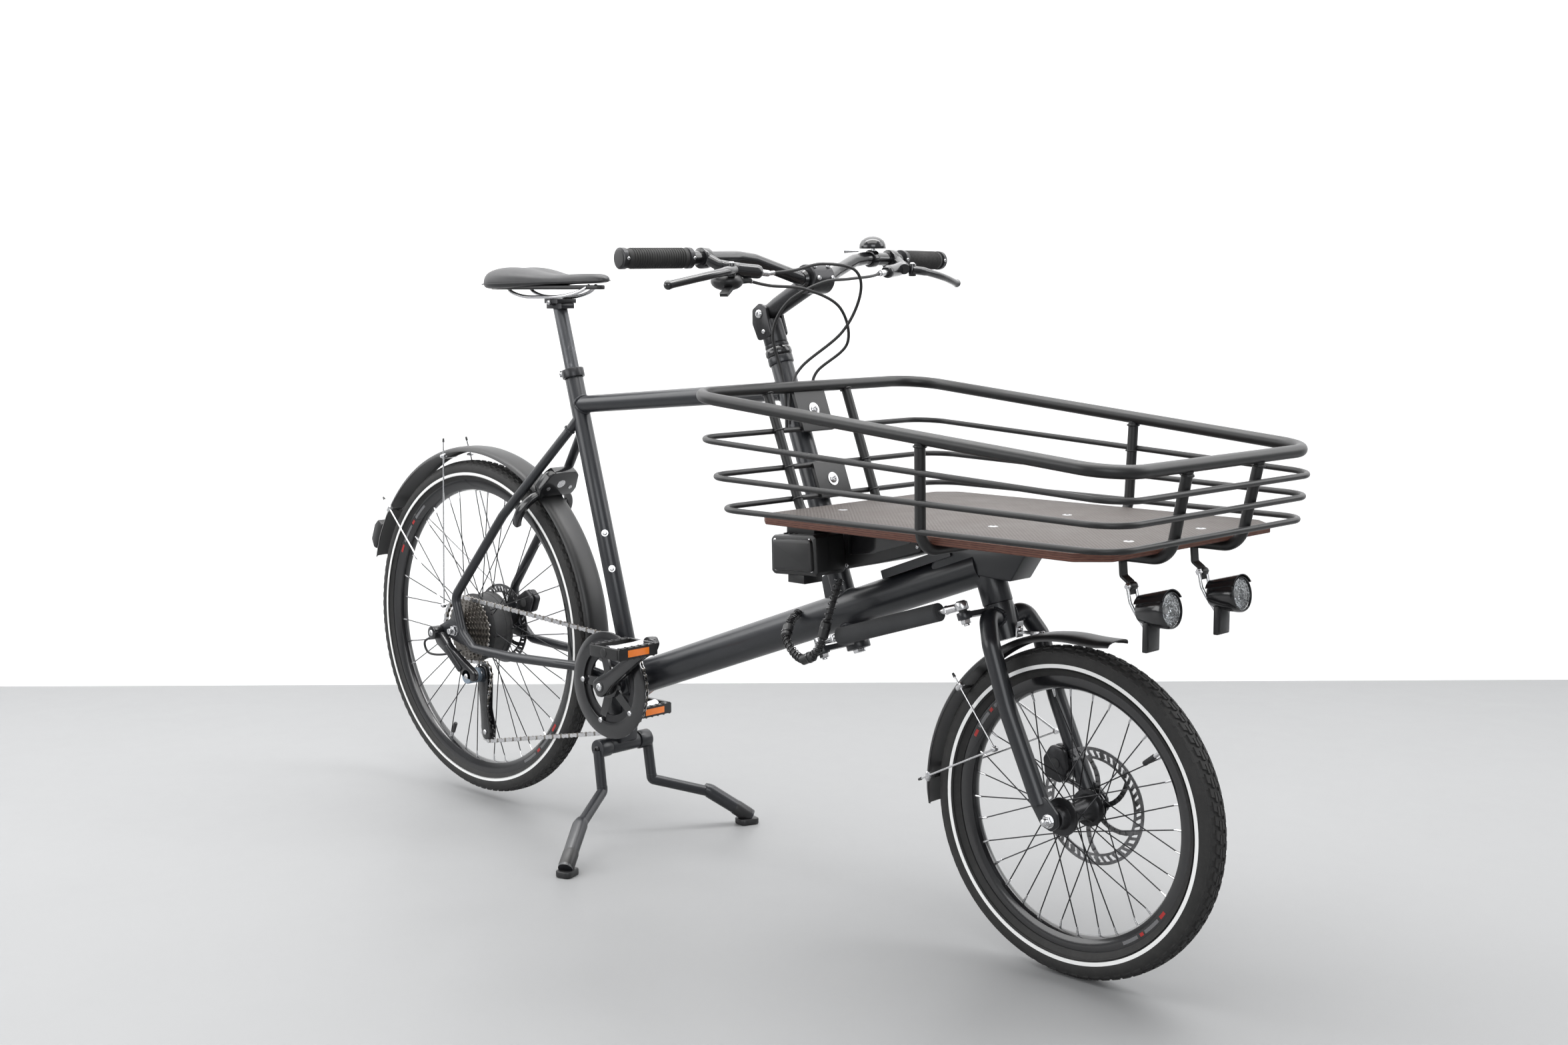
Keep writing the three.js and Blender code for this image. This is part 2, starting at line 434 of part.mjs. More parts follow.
// ----------------------------------------------------------------- driveline
const crank = group(BB);
const ca = rad(CRANK_ANGLE);
const pedalR = [BB[0] + CRANK * Math.cos(ca), -82, BB[2] + CRANK * Math.sin(ca)];
const pedalL = [BB[0] - CRANK * Math.cos(ca), 82, BB[2] - CRANK * Math.sin(ca)];
const crankArm = (s, end) => join(
  rod([BB[0], s * 62, BB[2]], [BB[0], s * 80, BB[2]], 19, 12),
  bar([BB[0], s * 71, BB[2]], [end[0], s * 79, end[2]], 13, 26, [Math.sin(ca), 0, -Math.cos(ca)].map((v) => v * s)),
  rod([end[0], s * 72, end[2]], [end[0], s * 86, end[2]], 14, 10));
add(crank, 'crank_right', cut(join([
  crankArm(-1, pedalR), rod([BB[0], -66, BB[2]], [BB[0], 61.6, BB[2]], 11.8, 10), rod([BB[0], -64, BB[2]], [BB[0], -50, BB[2]], 26, 12),
  ...[0, 90, 180, 270].map((d) => bar(at(BB, 18, d + 35, -53), at(BB, 72, d + 35, -53), 5, 22, at([0, 0, 0], 1, d + 125, 0)))]),
rod([pedalR[0], -66, pedalR[2]], [pedalR[0], -95, pedalR[2]], 7.6, 8)), 'black');
add(crank, 'crank_left', cut(crankArm(1, pedalL), rod([pedalL[0], 66, pedalL[2]], [pedalL[0], 95, pedalL[2]], 7.6, 8)), 'black');
add(crank, 'chainring', join(
  lathe([[CHAINRING_R - 5, -44.6], [CHAINRING_R - 5, -47.6], [62, -47.6], [62, -44.6]], 24, [BB[0], 0, BB[2]], [0, 1, 0]),
  lathe([[99, -56.4], [99, -59], [70, -59], [70, -56.4]], 24, [BB[0], 0, BB[2]], [0, 1, 0]),
  [0, 90, 180, 270].map((d) => rod(at(BB, 76, d + 65, -45), at(BB, 76, d + 65, -58.5), 4, 6))), 'black');
function pedal(g, name, c, s) {
  const x = c[0], z = c[2], t = rad(10);
  const y0 = s * 94, y1 = s * 188;
  const parts = [rod([x, s * 74, z], [x, y1 - s * 3, z], 6.6, 8), rod([x, s * 86.6, z], [x, y0 + s * 6, z], 10, 8)];
  for (const f of [-1, 1]) {
    parts.push(bar([x + f * 40, y0, z], [x + f * 40, y1, z], 12, 24));
    parts.push(bar([x + f * 40, y0 + s * 14, z], [x, y0 + s * 14, z], 6, 9));
    parts.push(bar([x + f * 40, y1 - s * 14, z], [x, y1 - s * 14, z], 6, 9));
  }
  add(g, name, join(parts), 'matte');
}
pedal(group(pedalR), 'pedal_right', pedalR, -1);
pedal(group(pedalL), 'pedal_left', pedalL, 1);

// chain: a belt round the sprocket, both jockey wheels and the chainring
const JU = [62, 270], JL = [71, 153];
const belt = (circles, per) => {
  const n = circles.length, pts = [];
  const tangent = circles.map((a, i) => {
    const b = circles[(i + 1) % n];
    const d = [b.c[0] - a.c[0], b.c[1] - a.c[1]], D2 = d[0] ** 2 + d[1] ** 2;
    const k = b.s * b.r - a.s * a.r, L = Math.sqrt(D2 - k * k);
    return [(L * d[0] + k * d[1]) / D2, (L * d[1] - k * d[0]) / D2];
  });
  circles.forEach((a, i) => {
    const u0 = tangent[(i + n - 1) % n], u1 = tangent[i];
    const n0 = [a.s * u0[1], -a.s * u0[0]], n1 = [a.s * u1[1], -a.s * u1[0]];
    let t0 = Math.atan2(n0[1], n0[0]), t1 = Math.atan2(n1[1], n1[0]);
    if (a.s > 0) while (t1 < t0) t1 += 2 * Math.PI; else while (t1 > t0) t1 -= 2 * Math.PI;
    const m = Math.max(2, Math.ceil(Math.abs(t1 - t0) / rad(per)));
    for (let k = 0; k <= m; k++) { const t = t0 + ((t1 - t0) * k) / m; pts.push([a.c[0] + a.r * Math.cos(t), a.c[1] + a.r * Math.sin(t)]); }
  });
  return pts;
};
const chainCircles = (h) => [{ c: [0, 349], r: COG_R + 1 + h, s: 1 }, { c: JU, r: JOCKEY_R + 5 - h, s: -1 },
  { c: JL, r: JOCKEY_R + 5 + h, s: 1 }, { c: [BB[0], BB[2]], r: CHAINRING_R + 1 + h, s: 1 }];
add(bicycle, 'chain', cut(slabY(belt(chainCircles(CHAIN_H), 15), CHAIN_Y - CHAIN_W / 2, CHAIN_Y + CHAIN_W / 2),
  slabY(belt(chainCircles(-CHAIN_H), 15), CHAIN_Y - CHAIN_W, CHAIN_Y + CHAIN_W)), 'steel');

const jockey = (name, c) => {
  const g = group([c[0], CHAIN_Y, c[1]]);
  add(g, name, lathe([[4.4, -49], [JOCKEY_R, -47.5], [JOCKEY_R, -44.5], [4.4, -43]], 12, [c[0], 0, c[1]], [0, 1, 0]), 'black');
};
jockey('jockey_upper', JU);
jockey('jockey_lower', JL);
add(bicycle, 'derailleur', join(
  rod([JU[0], -40.6, JU[1]], [JU[0], -53, JU[1]], 4, 8), rod([JL[0], -40.6, JL[1]], [JL[0], -53, JL[1]], 4, 8),
  slabY([[JU[0] - 14, JU[1] + 8], [JU[0] + 12, JU[1] + 10], [JL[0] + 12, JL[1] - 8], [JL[0] - 10, JL[1] - 9], [JL[0] - 6, JL[1] + 30], [JU[0] - 8, JU[1] - 30]], -55.5, -51.5),
  slabY([[JU[0] - 12, JU[1] + 8], [JU[0] + 10, JU[1] + 10], [JL[0] + 10, JL[1] - 8], [JL[0] - 10, JL[1] - 9], [JL[0] - 4, JL[1] + 30], [JU[0] - 6, JU[1] - 30]], -41.4, -39.4),
  slabY([[-58, 338], [-46, 318], [-6, 296], [40, 262], [74, 256], [80, 276], [40, 296], [0, 318], [-30, 344]], -84, -70.4),
  rod([52, -84, 266], [52, -54, 266], 15, 12),
  rod([-50, -92, 341], [-50, -70.5, 341], 13, 12)), 'worn');

// ------------------------------------------------------------ cargo basket
const hull4 = (xr, wr, rr, xf, wf, rf) => {
  // half of a rounded trapezoid in plan, from the rear middle to the front middle on the right side
  const pts = [[xr, 0, 0], [xr, -wr, 0], [xf, -wf, 0], [xf, 0, 0]];
  return rounded(pts, [rr, rf], 30);
};
function loop(xr, wr, rr, xf, wf, rf, zr, zf, r, sides) {
  const z = (x) => zr + ((x - xr) / (xf - xr)) * (zf - zr);
  const half = hull4(xr, wr, rr, xf, wf, rf);
  const halves = [1, -1].map((s) => {
    const pts = half.map((p) => V(p.x, p.y * s, z(p.x)));
    pts[0].y += 2 * s; pts[pts.length - 1].y += 2 * s;
    return tube(pts, r, sides);
  });
  return join(halves);
}
const RIM = [896, 272, 62, 1680, 252, 62, 861, 788];
const R1 = [915, 278, 50, 1686, 252, 50, 794, 752];
const R2 = [937, 276, 50, 1681, 251, 50, 737, 720];
const R3 = [955, 271, 50, 1674, 250, 50, 688, 686];
const TUBE_Z = 658;                      // middle of the tubes that carry the deck
const longTube = (s) => rounded([[895.5, s * 93, 860], [975, s * 91, TUBE_Z], [1655, s * 89, TUBE_Z], [1681, s * 91, 782]], [34, 34], 30);
const sideTube = rounded([[1359, 260, 812], [1356, 254, TUBE_Z], [1356, -254, TUBE_Z], [1359, -260, 812]], [34, 34], 30);
// plate square to the column's axis, between two distances down it
const plateBasket = (k0, k1, w) => {
  const c = onAxis(COLUMN_TOP, -(k0 + k1) / 2);
  return solid(new THREE.BoxGeometry(6, 2 * w, k1 - k0), new THREE.Matrix4().makeRotationY(Math.atan2(STEER_AXIS[0], STEER_AXIS[2]))
    .setPosition(c[0] + STEER_AXIS[2] * PLATE_OUT, 0, c[2] - STEER_AXIS[0] * PLATE_OUT));
};
const lampStrap = (s) => [
  bar([1580, s * 90, TUBE_Z - 5], [1582, s * 90, 630], 16, 3.5, [1, 0, 0]),
  bar([1581, s * 90, 634], [1594, s * 90, 622], 16, 3.5, [1, 0, 0]),
  bar([1594, s * 90, 626], [1595, s * 90, 610], 14, 3.5, [1, 0, 0]),
  rod([1595, s * 82.5, 617], [1595, s * 97.5, 617], 6, 8)];
let basket = join(
  ...lampStrap(1), ...lampStrap(-1),
  loop(...RIM, RIM_R, 7), loop(...R1, RAIL_R, 5), loop(...R2, RAIL_R, 5), loop(...R3, RAIL_R, 5),
  tube(longTube(1), POST_R, 7), tube(longTube(-1), POST_R, 7), tube(sideTube, POST_R, 7),
  plateBasket(70, 143, 36), plateBasket(196, 256, 36));
basket = cut(basket, box(1190, -57, 638, 1393, 57, 649));
add(bicycle, 'basket_frame', basket, 'basket');

const DECK = [[1000, 205], [1030, 232], [1600, 236], [1640, 200], [1640, -200], [1600, -236], [1030, -232], [1000, -205]];
add(bicycle, 'basket_board', cut(slabZ(DECK, TUBE_Z + POST_R + 0.4, TUBE_Z + POST_R + 0.4 + DECK_T),
  tube(sideTube, POST_R + 0.5, 7), tube(longTube(1), POST_R + 0.5, 7), tube(longTube(-1), POST_R + 0.5, 7)), 'wood');

// ------------------------------------------------ battery case and controller
add(bicycle, 'battery_case', cut(slabY([[1016, 574], [1085, 590], [1180, 618], [1180, 664], [1016, 664]], -44, 44),
  rod([452, 0, 304], DOWN_END, DOWN_TUBE_R + 0.8, 14), bar([1080, 0, 569.5], [1235, 0, 626], 61, 15.2),
  rod(COLUMN_TOP, columnBottom, COLUMN_TUBE_R + 1, 12), box(1190, -57, 638, 1393, 57, 649)), 'black');
add(bicycle, 'controller_box', cut(join(
  slabY([[928, 572], [934, 567], [1026, 572], [1031, 578], [1027, 634], [1020, 638], [932, 630], [927, 624]], -124, -44.6),
  box(952, -104, 554, 988, -60, 570), box(945, -100, 632, 1008, -44.6, 662)), tube(longTube(-1), POST_R + 0.6, 7)), 'matte');
add(bicycle, 'wiring_harness', cut(tube(rounded([[900, -26, 488], [914, -58, 478], [936, -90, 456], [976, -99, 432], [1012, -98, 450], [1026, -90, 500], [1026, -62, 560]], 24, 30), 8, 8),
  rod([452, 0, 304], DOWN_END, DOWN_TUBE_R + 0.5, 14), slabY([[926, 571], [934, 566], [1027, 571], [1032, 578], [1028, 635]], -125, -44)), 'matte');

// --------------------------------------------------------------- headlamps
for (const [tag, s] of [['right', -1], ['left', 1]]) {
  const lamp = group([1595, s * 90, 617]);
  add(lamp, `lamp_${tag}`, join(
    rod([1595, s * 98, 617], [1595, s * 102, 617], 6.5, 6), rod([1595, s * 78, 617], [1595, s * 82, 617], 6.5, 6),
    tube([[1595, s * 100, 617], [1600, s * 100, 596], [1626, s * 98, 566]], 2.4, 4),
    tube([[1595, s * 80, 617], [1600, s * 80, 596], [1626, s * 82, 566]], 2.4, 4),
    rod([1626, s * 76, 566], [1626, s * 104, 566], 5, 6),
    cone([1609, s * 90, 583], [1655, s * 90, 590], 18, 26, 12),
    cone([1655, s * 90, 590], [1662, s * 90, 591], 26, 24, 12),
    bar([1612, s * 90, 604], [1674, s * 90, 613.5], 44, 4, [0, 0, 1]),
    box(1624, s * 90 - 16, 530, 1632, s * 90 + 16, 572)), 'lamp');
}

// ------------------------------------------------- steering column and stem
const column = group(COLUMN_TOP);
const armEnd = (p) => [p[0] + ARM[0], p[1] + ARM[1], p[2] + ARM[2]];
const rearArmC = onAxis(COLUMN_TOP, -489);
const rearBall = armEnd(rearArmC);
add(column, 'steering_column', join(
  rod(onAxis(COLUMN_TOP, 8), onAxis(COLUMN_TOP, -498), COLUMN_SHAFT_R, 10),
  rod(onAxis(COLUMN_TOP, 0.4), onAxis(COLUMN_TOP, 8), 20.5, 12),
  rod(onAxis(rearArmC, 10), onAxis(rearArmC, -9), 21, 12),
  bar(onAxis(rearArmC, -2), onAxis(rearBall, -2), 24, 9, STEER_AXIS),
  rod(onAxis(rearBall, 2.4), onAxis(rearBall, -9), 11, 10),
  rod(onAxis(rearBall, -9), onAxis(rearBall, -19), 6.5, 6),
), 'black');
const STEM_PIVOT = [807, 0, 979];
add(column, 'stem_base', join(
  cone(onAxis(COLUMN_TOP, 8.4), onAxis(COLUMN_TOP, 42), 17.5, 17, 12),
  bar(onAxis([849, 0, 916], 10), onAxis([849, 0, 916], 50), 22, 26, [1, 0, 0]),
  bar([827, -17, 932], [809, -17, 974], 7, 30, [1, 0, 0]), bar([827, 17, 932], [809, 17, 974], 7, 30, [1, 0, 0]),
  rod([807, -21, 979], [807, -13.8, 979], 18, 12), rod([807, 21, 979], [807, 13.8, 979], 18, 12),
  rod([807, -18, 979], [807, 18, 979], 5.6, 8)), 'frame');
const bars = group(STEM_PIVOT, column, COLUMN_TOP);
const CLAMP = [915, 0, 1036];
add(bars, 'stem_arm', cut(join(
  rod([807, -13.4, 979], [807, 13.4, 979], 18.5, 12),
  rod([818, 0, 984], [900, 0, 1027], 16.5, 10),
  rod([CLAMP[0], -24, CLAMP[2]], [CLAMP[0], 24, CLAMP[2]], 24, 12)),
rod([807, -20, 979], [807, 20, 979], 6.6, 8), rod([CLAMP[0], -30, CLAMP[2]], [CLAMP[0], 30, CLAMP[2]], 16.6, 10),
rod([807, -40, 979], [807, -13.5, 979], 26, 12), rod([807, 40, 979], [807, 13.5, 979], 26, 12)), 'frame');
const barHalf = [[CLAMP[0], 30, CLAMP[2]], [905, 60, 1047], [893, 118, 1066], [888, 150, 1070], [884, 244, 1069], [867, 370, 1068]];
const gripLine = [[884.2, 240, 1069], [867, 372, 1068]];
const barHalfPath = (s) => rounded([[CLAMP[0], 0, CLAMP[2]], ...barHalf].map(([x, y, z]) => [x, y * s, z]), 60, 25);
add(bars, 'handlebar', join(
  rod([CLAMP[0], -30, CLAMP[2]], [CLAMP[0], 30, CLAMP[2]], 15.4, 10), tube(barHalfPath(1), 11.1, 8), tube(barHalfPath(-1), 11.1, 8)), 'frame');
for (const [tag, s] of [['right', -1], ['left', 1]]) {
  const g0 = lerp3(gripLine[0], gripLine[1], 0.03), g1 = [866.6, 375.4, 1068];
  add(bars, `grip_${tag}`, cut(rod([g0[0], g0[1] * s, g0[2]], [g1[0], g1[1] * s, g1[2]], 16.5, 12), tube(barHalfPath(s), 11.6, 8)), 'foam');
  // brake perch: clamp on the bar and a body that leans forward and inward
  add(bars, `brake_perch_${tag}`, cut(join(
    rod([886, s * 212, 1069.3], [885, s * 228, 1069.2], 17, 10),
    bar([888, s * 220, 1069], [920, s * 202, 1056], 14, 16),
    bar([915, s * 212, 1057], [938, s * 150, 1047], 18, 15),
    rod([937, s * 152, 1047], [940, s * 132, 1045], 5.5, 8)),
  tube(barHalfPath(s), 11.5, 8), rod([941, s * 213, 1068], [941, s * 213, 1034], 10.2, 10),
  ), 'black');
  const lever = group([941, s * 213, 1051], bars, STEM_PIVOT);
  add(lever, `brake_lever_${tag}`, join(
    rod([941, s * 213, 1058], [941, s * 213, 1044], 9, 10),
    tube(rounded([[942, s * 216, 1051], [949, s * 240, 1047], [946, s * 290, 1038], [934, s * 340, 1028]], 30, 25), 6, 8)), 'black');
}
add(bars, 'shifter', cut(join(
  rod([887, -190, 1069.6], [886, -203, 1069.4], 16, 10), bar([892, -196, 1062], [912, -196, 1042], 13, 18, [0, 0, 1]),
  solid(new THREE.SphereGeometry(1, 10, 6), new THREE.Matrix4().makeScale(27, 25, 15).setPosition(919, -202, 1033))),
tube(barHalfPath(-1), 11.5, 8), rod([941, -213, 1068], [941, -213, 1034], 10.2, 10), bar([914, -214, 1057.4], [938.4, -148, 1046.7], 19, 16), bar([886, -221, 1069.6], [921, -201, 1055.7], 15, 17)), 'black');
const shiftG = group([919, -202, 1016], bars, STEM_PIVOT);
add(shiftG, 'shift_lever', join(rod([919, -202, 1017.4], [919, -202, 1011], 11, 12), bar([919, -202, 1014], [948, -236, 1012], 12, 5)), 'black');
add(bars, 'bell', cut(join(
  rod([890, 164, 1069.6], [888.6, 176, 1069.8], 14, 10), rod([889, 170, 1078], [889, 170, 1088], 9, 8),
  lathe([[0, 109], [12, 106.5], [19, 101], [23, 91], [23, 88], [0, 88]].map(([r, z]) => [r, z - 88]), 12, [889, 170, 1087], [0, 0, 1])),
tube(barHalfPath(1), 11.5, 8)), 'black');
const bellG = group([866, 158, 1083], bars, STEM_PIVOT);
add(bellG, 'bell_lever', cut(join(rod([872, 150, 1080], [872, 150, 1086], 5, 10), bar([872, 150, 1083], [852, 140, 1083], 7, 4)), tube(barHalfPath(1), 11.6, 8)), 'black');

// hoses and cables from the controls down to the column, tied together at their lower ends
const hoses = join(
  tube(rounded([[941, -131, 1045], [956, -90, 1050], [970, -40, 1060], [985, 20, 1050], [978, 40, 1010], [944, 34, 950], [886, 0, 894], [884, -24, 856], [886, -30, 800]], 40, 40), 2.6, 5),
  tube(rounded([[941, 131, 1045], [955, 90, 1040], [962, 30, 1036], [958, -30, 1030], [926, -74, 1000], [884, -66, 950], [878, -42, 890], [884, -38, 850], [887, -38, 790]], 40, 40), 2.6, 5),
  tube(rounded([[932, -171, 1034], [942, -130, 1026], [952, -60, 1020], [952, 20, 990], [926, 66, 930], [884, 38, 884], [884, 26, 850], [887, 24, 800]], 40, 40), 3, 5),
  rod([884, -40, 866], [884, 32, 866], 3.6, 6));
add(bars, 'control_cables', hoses, 'black');

// ------------------------------------------------------------------ tie rod
const frontArmC = FORK_AXIS_POINT;
const frontBall = armEnd(frontArmC);
const rodDir = P(frontBall).sub(P(rearBall)).normalize();
const alongRod = (k) => P(rearBall).addScaledVector(rodDir, k).toArray();
const rodLen = P(frontBall).distanceTo(P(rearBall));
const tie = group(rearBall, column, COLUMN_TOP);
const lift = (p) => onAxis(p, 11);
add(tie, 'tie_rod', join(
  rod(lift(alongRod(0)), lift(alongRod(rodLen)), ROD_R, 8),
  rod(lift(alongRod(44)), lift(alongRod(rodLen - 44)), SLEEVE_R, 10),
  rod(onAxis(rearBall, 3), onAxis(rearBall, 19), 10, 10), rod(onAxis(frontBall, 3), onAxis(frontBall, 19), 10, 10)), 'foam');

// --------------------------------------------------------------------- fork
const fork = group(FORK_AXIS_POINT);
const forkLeg = (s) => rounded([[1306, s * 8, 524], [1311, s * 44, 534], [1331, s * 61, 496], [1363, s * 61, 404], [1424, s * 59, 270]], [18, 26, 200], 32);
add(fork, 'fork', cut(join(
  rod(onAxis(FORK_AXIS_POINT, 88), onAxis(FORK_AXIS_POINT, -20), 12.5, 10),
  cone(onAxis(FORK_AXIS_POINT, 3.6), onAxis(FORK_AXIS_POINT, -52), 23, 20, 12),
  bar(onAxis(frontArmC, -5), onAxis(frontBall, -3), 24, 8, STEER_AXIS), rod(onAxis(frontBall, 2.4), onAxis(frontBall, -9), 11, 10),
  rod(onAxis(frontBall, -9), onAxis(frontBall, -19), 6.5, 6),
  tube(forkLeg(-1), 14, 8), tube(forkLeg(1), 14, 8),
  slabY([[1416, 292], [1440, 280], [1458, 262], [1460, 244], [1448, 234], [1430, 240], [1412, 266]], -66, -59),
  slabY([[1416, 292], [1440, 280], [1458, 262], [1460, 244], [1448, 234], [1430, 240], [1412, 266]], 59, 66),
), rod([1444, -90, 250], [1444, 90, 250], 5.4, 8), rod([1444, -58.8, 250], [1444, 58.8, 250], 100, 16)), 'frame');
add(fork, 'front_axle', join(rod([1444, -80, 250], [1444, 80, 250], 4.6, 8), rod([1444, -75, 250], [1444, -66.4, 250], 9, 6), rod([1444, 75, 250], [1444, 66.4, 250], 9, 6),
  rod([1444, -58.4, 250], [1444, -52.6, 250], 10, 8), rod([1444, 58.4, 250], [1444, 52.6, 250], 10, 8)), 'steel');
add(fork, 'front_mudguard', cut(join(mudguard(FRONT_AXLE, 269, 75, 187, 15, 29),
  bar([1336, 0, 508], [1376, 0, 510], 16, 3), bar([1336, 0, 500], [1337, 0, 526], 16, 3, [1, 0, 0])), rod(onAxis(FORK_AXIS_POINT, 20), onAxis(FORK_AXIS_POINT, -58), 24, 12)), 'black');
add(fork, 'front_mudguard_stays', cut(guardStays(FRONT_AXLE, [1352, 76.5, 344], 255, [139, 176.5], 35, 26), tube(forkLeg(-1), 14.5, 8), tube(forkLeg(1), 14.5, 8)), 'steel');
add(fork, 'front_brake_caliper', cut(slabY([[1362, 284], [1392, 276], [1404, 300], [1396, 330], [1372, 334], [1358, 312]], 34, 60),
  lathe([[94, 42.5], [94, 49.5], [1, 49.5], [1, 42.5]], 28, [1444, 0, 250], [0, 1, 0]), tube(forkLeg(1), 14.5, 8)), 'black');

// -------------------------------------------------------------- front wheel
const frontWheel = group(FRONT_AXLE, fork, FORK_AXIS_POINT);
wheel(frontWheel, FRONT_AXLE, 'front', FRONT_TYRE_R, FRONT_TYRE_W, FRONT_RIM_R, FRONT_RIM_IN, 36);
add(frontWheel, 'front_hub', cut(join([
  lathe([[6, -52], [16, -52], [18, -38], [28, -36], [28, -32], [15, -28], [15, 26], [28, 30], [28, 34], [20, 36], [20, 52], [6, 52]], 14, FRONT_AXLE, [0, 1, 0]),
  disc(FRONT_AXLE, 45, DISC_FRONT_R, 24)]), rod([1444, -90, 250], [1444, 90, 250], 5.4, 8)), 'matte');
add(frontWheel, 'front_spokes', spokes(FRONT_AXLE, FRONT_SPOKES, 28, 34, FRONT_RIM_IN, 55, 3), 'steel');

bicycle.position.x = -ORIGIN_X;
export default bicycle;
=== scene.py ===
import bpy, bmesh, math, random
from mathutils import Vector, Matrix, Quaternion


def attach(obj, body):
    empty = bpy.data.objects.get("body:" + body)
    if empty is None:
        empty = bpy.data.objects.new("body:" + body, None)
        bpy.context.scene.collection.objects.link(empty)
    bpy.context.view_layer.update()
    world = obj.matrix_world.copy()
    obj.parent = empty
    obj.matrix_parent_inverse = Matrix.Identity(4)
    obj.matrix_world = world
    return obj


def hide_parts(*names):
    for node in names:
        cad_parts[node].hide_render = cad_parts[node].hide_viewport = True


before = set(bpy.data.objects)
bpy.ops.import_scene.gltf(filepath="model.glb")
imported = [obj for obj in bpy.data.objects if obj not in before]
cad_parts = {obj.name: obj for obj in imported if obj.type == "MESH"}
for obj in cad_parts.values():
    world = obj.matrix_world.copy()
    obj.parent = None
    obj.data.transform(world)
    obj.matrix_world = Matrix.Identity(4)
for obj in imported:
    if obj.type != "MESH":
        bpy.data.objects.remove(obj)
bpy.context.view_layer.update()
random.seed(7)
OX = 666.66                       # the CAD origin, forward of the rear axle (mm)
STEER = Vector((-0.3543, 0, 0.9351)).normalized()
COLUMN_TOP = Vector((834.5, 0, 909))
FORK_P = Vector((1297.5, 0, 543))
BB = Vector((452, 0, 304)); REAR = Vector((0, 0, 349)); FRONT = Vector((1444, 0, 250))
TUBE_Z = 658.0
X, Y, Z = Vector((1, 0, 0)), Vector((0, 1, 0)), Vector((0, 0, 1))


def V(*p):
    return Vector(p[0]) if len(p) == 1 else Vector(p)


def on_axis(p, k):
    return Vector(p) + Vector((-0.3543, 0, 0.9351)) * k


# ------------------------------------------------------------------ materials
def _tree(name):
    m = bpy.data.materials.new(name)
    m.use_nodes = True
    nt = m.node_tree
    return m, nt, nt.nodes["Principled BSDF"]


def _noise(nt, scale, detail=4, rough=0.55, stretch=None):
    tc = nt.nodes.new("ShaderNodeTexCoord")
    mp = nt.nodes.new("ShaderNodeMapping")
    if stretch:
        mp.inputs["Scale"].default_value = stretch
    nz = nt.nodes.new("ShaderNodeTexNoise")
    nz.inputs["Scale"].default_value = scale
    nz.inputs["Detail"].default_value = detail
    nz.inputs["Roughness"].default_value = rough
    nt.links.new(tc.outputs["Object"], mp.inputs[0])
    nt.links.new(mp.outputs[0], nz.inputs["Vector"])
    return nz.outputs["Fac"]


def _range(nt, fac, a, b, c, d):
    r = nt.nodes.new("ShaderNodeMapRange")
    r.inputs["From Min"].default_value, r.inputs["From Max"].default_value = a, b
    r.inputs["To Min"].default_value, r.inputs["To Max"].default_value = c, d
    nt.links.new(fac, r.inputs["Value"])
    return r.outputs[0]


def _mix(nt, fac, a, b):
    m = nt.nodes.new("ShaderNodeMix")
    m.data_type = "RGBA"
    for k, v in ((6, a), (7, b)):
        if isinstance(v, (tuple, list)):
            m.inputs[k].default_value = (*v[:3], 1)
        else:
            nt.links.new(v, m.inputs[k])
    nt.links.new(fac, m.inputs[0])
    return m.outputs[2]


def _bump(nt, fac, strength, dist=0.001, normal=None):
    b = nt.nodes.new("ShaderNodeBump")
    b.inputs["Strength"].default_value = strength
    b.inputs["Distance"].default_value = dist
    nt.links.new(fac, b.inputs["Height"])
    if normal:
        nt.links.new(normal, b.inputs["Normal"])
    return b.outputs[0]


def surface(name, color, rough=0.5, metal=0.0, grain=900, bump=0.15, dist=0.0002, vary=0.12, worn=None, wear=(0.66, 0.72), coat=0.0,
            wear_scale=38, stretch=None, dust=None, spec=0.5):
    """A coated or bare surface: slow colour and gloss variation, fine relief, and optional wear or dust."""
    m, nt, b = _tree(name)
    slow = _noise(nt, 14, 5, 0.6)
    fine = _noise(nt, grain, 3, 0.5, stretch)
    lo = tuple(max(0, c * (1 - vary)) for c in color)
    hi = tuple(min(1, c * (1 + vary) + 0.0015) for c in color)
    col = _mix(nt, slow, lo, hi)
    if worn:
        scuff = _noise(nt, wear_scale, 9, 0.72, (1, 1, 0.45))
        col = _mix(nt, _range(nt, scuff, wear[0], wear[1], 0, 0.8), col, worn)
    if dust:
        d = _noise(nt, 60, 8, 0.7)
        col = _mix(nt, _range(nt, d, 0.45, 0.8, 0, 0.35), col, dust)
    nt.links.new(col, b.inputs["Base Color"])
    nt.links.new(_range(nt, fine, 0.3, 0.7, max(0.02, rough - 0.07), min(1, rough + 0.07)), b.inputs["Roughness"])
    b.inputs["Metallic"].default_value = metal
    b.inputs["Specular IOR Level"].default_value = spec
    if coat:
        b.inputs["Coat Weight"].default_value = coat
        b.inputs["Coat Roughness"].default_value = 0.12
    nt.links.new(_bump(nt, fine, bump, dist), b.inputs["Normal"])
    return m


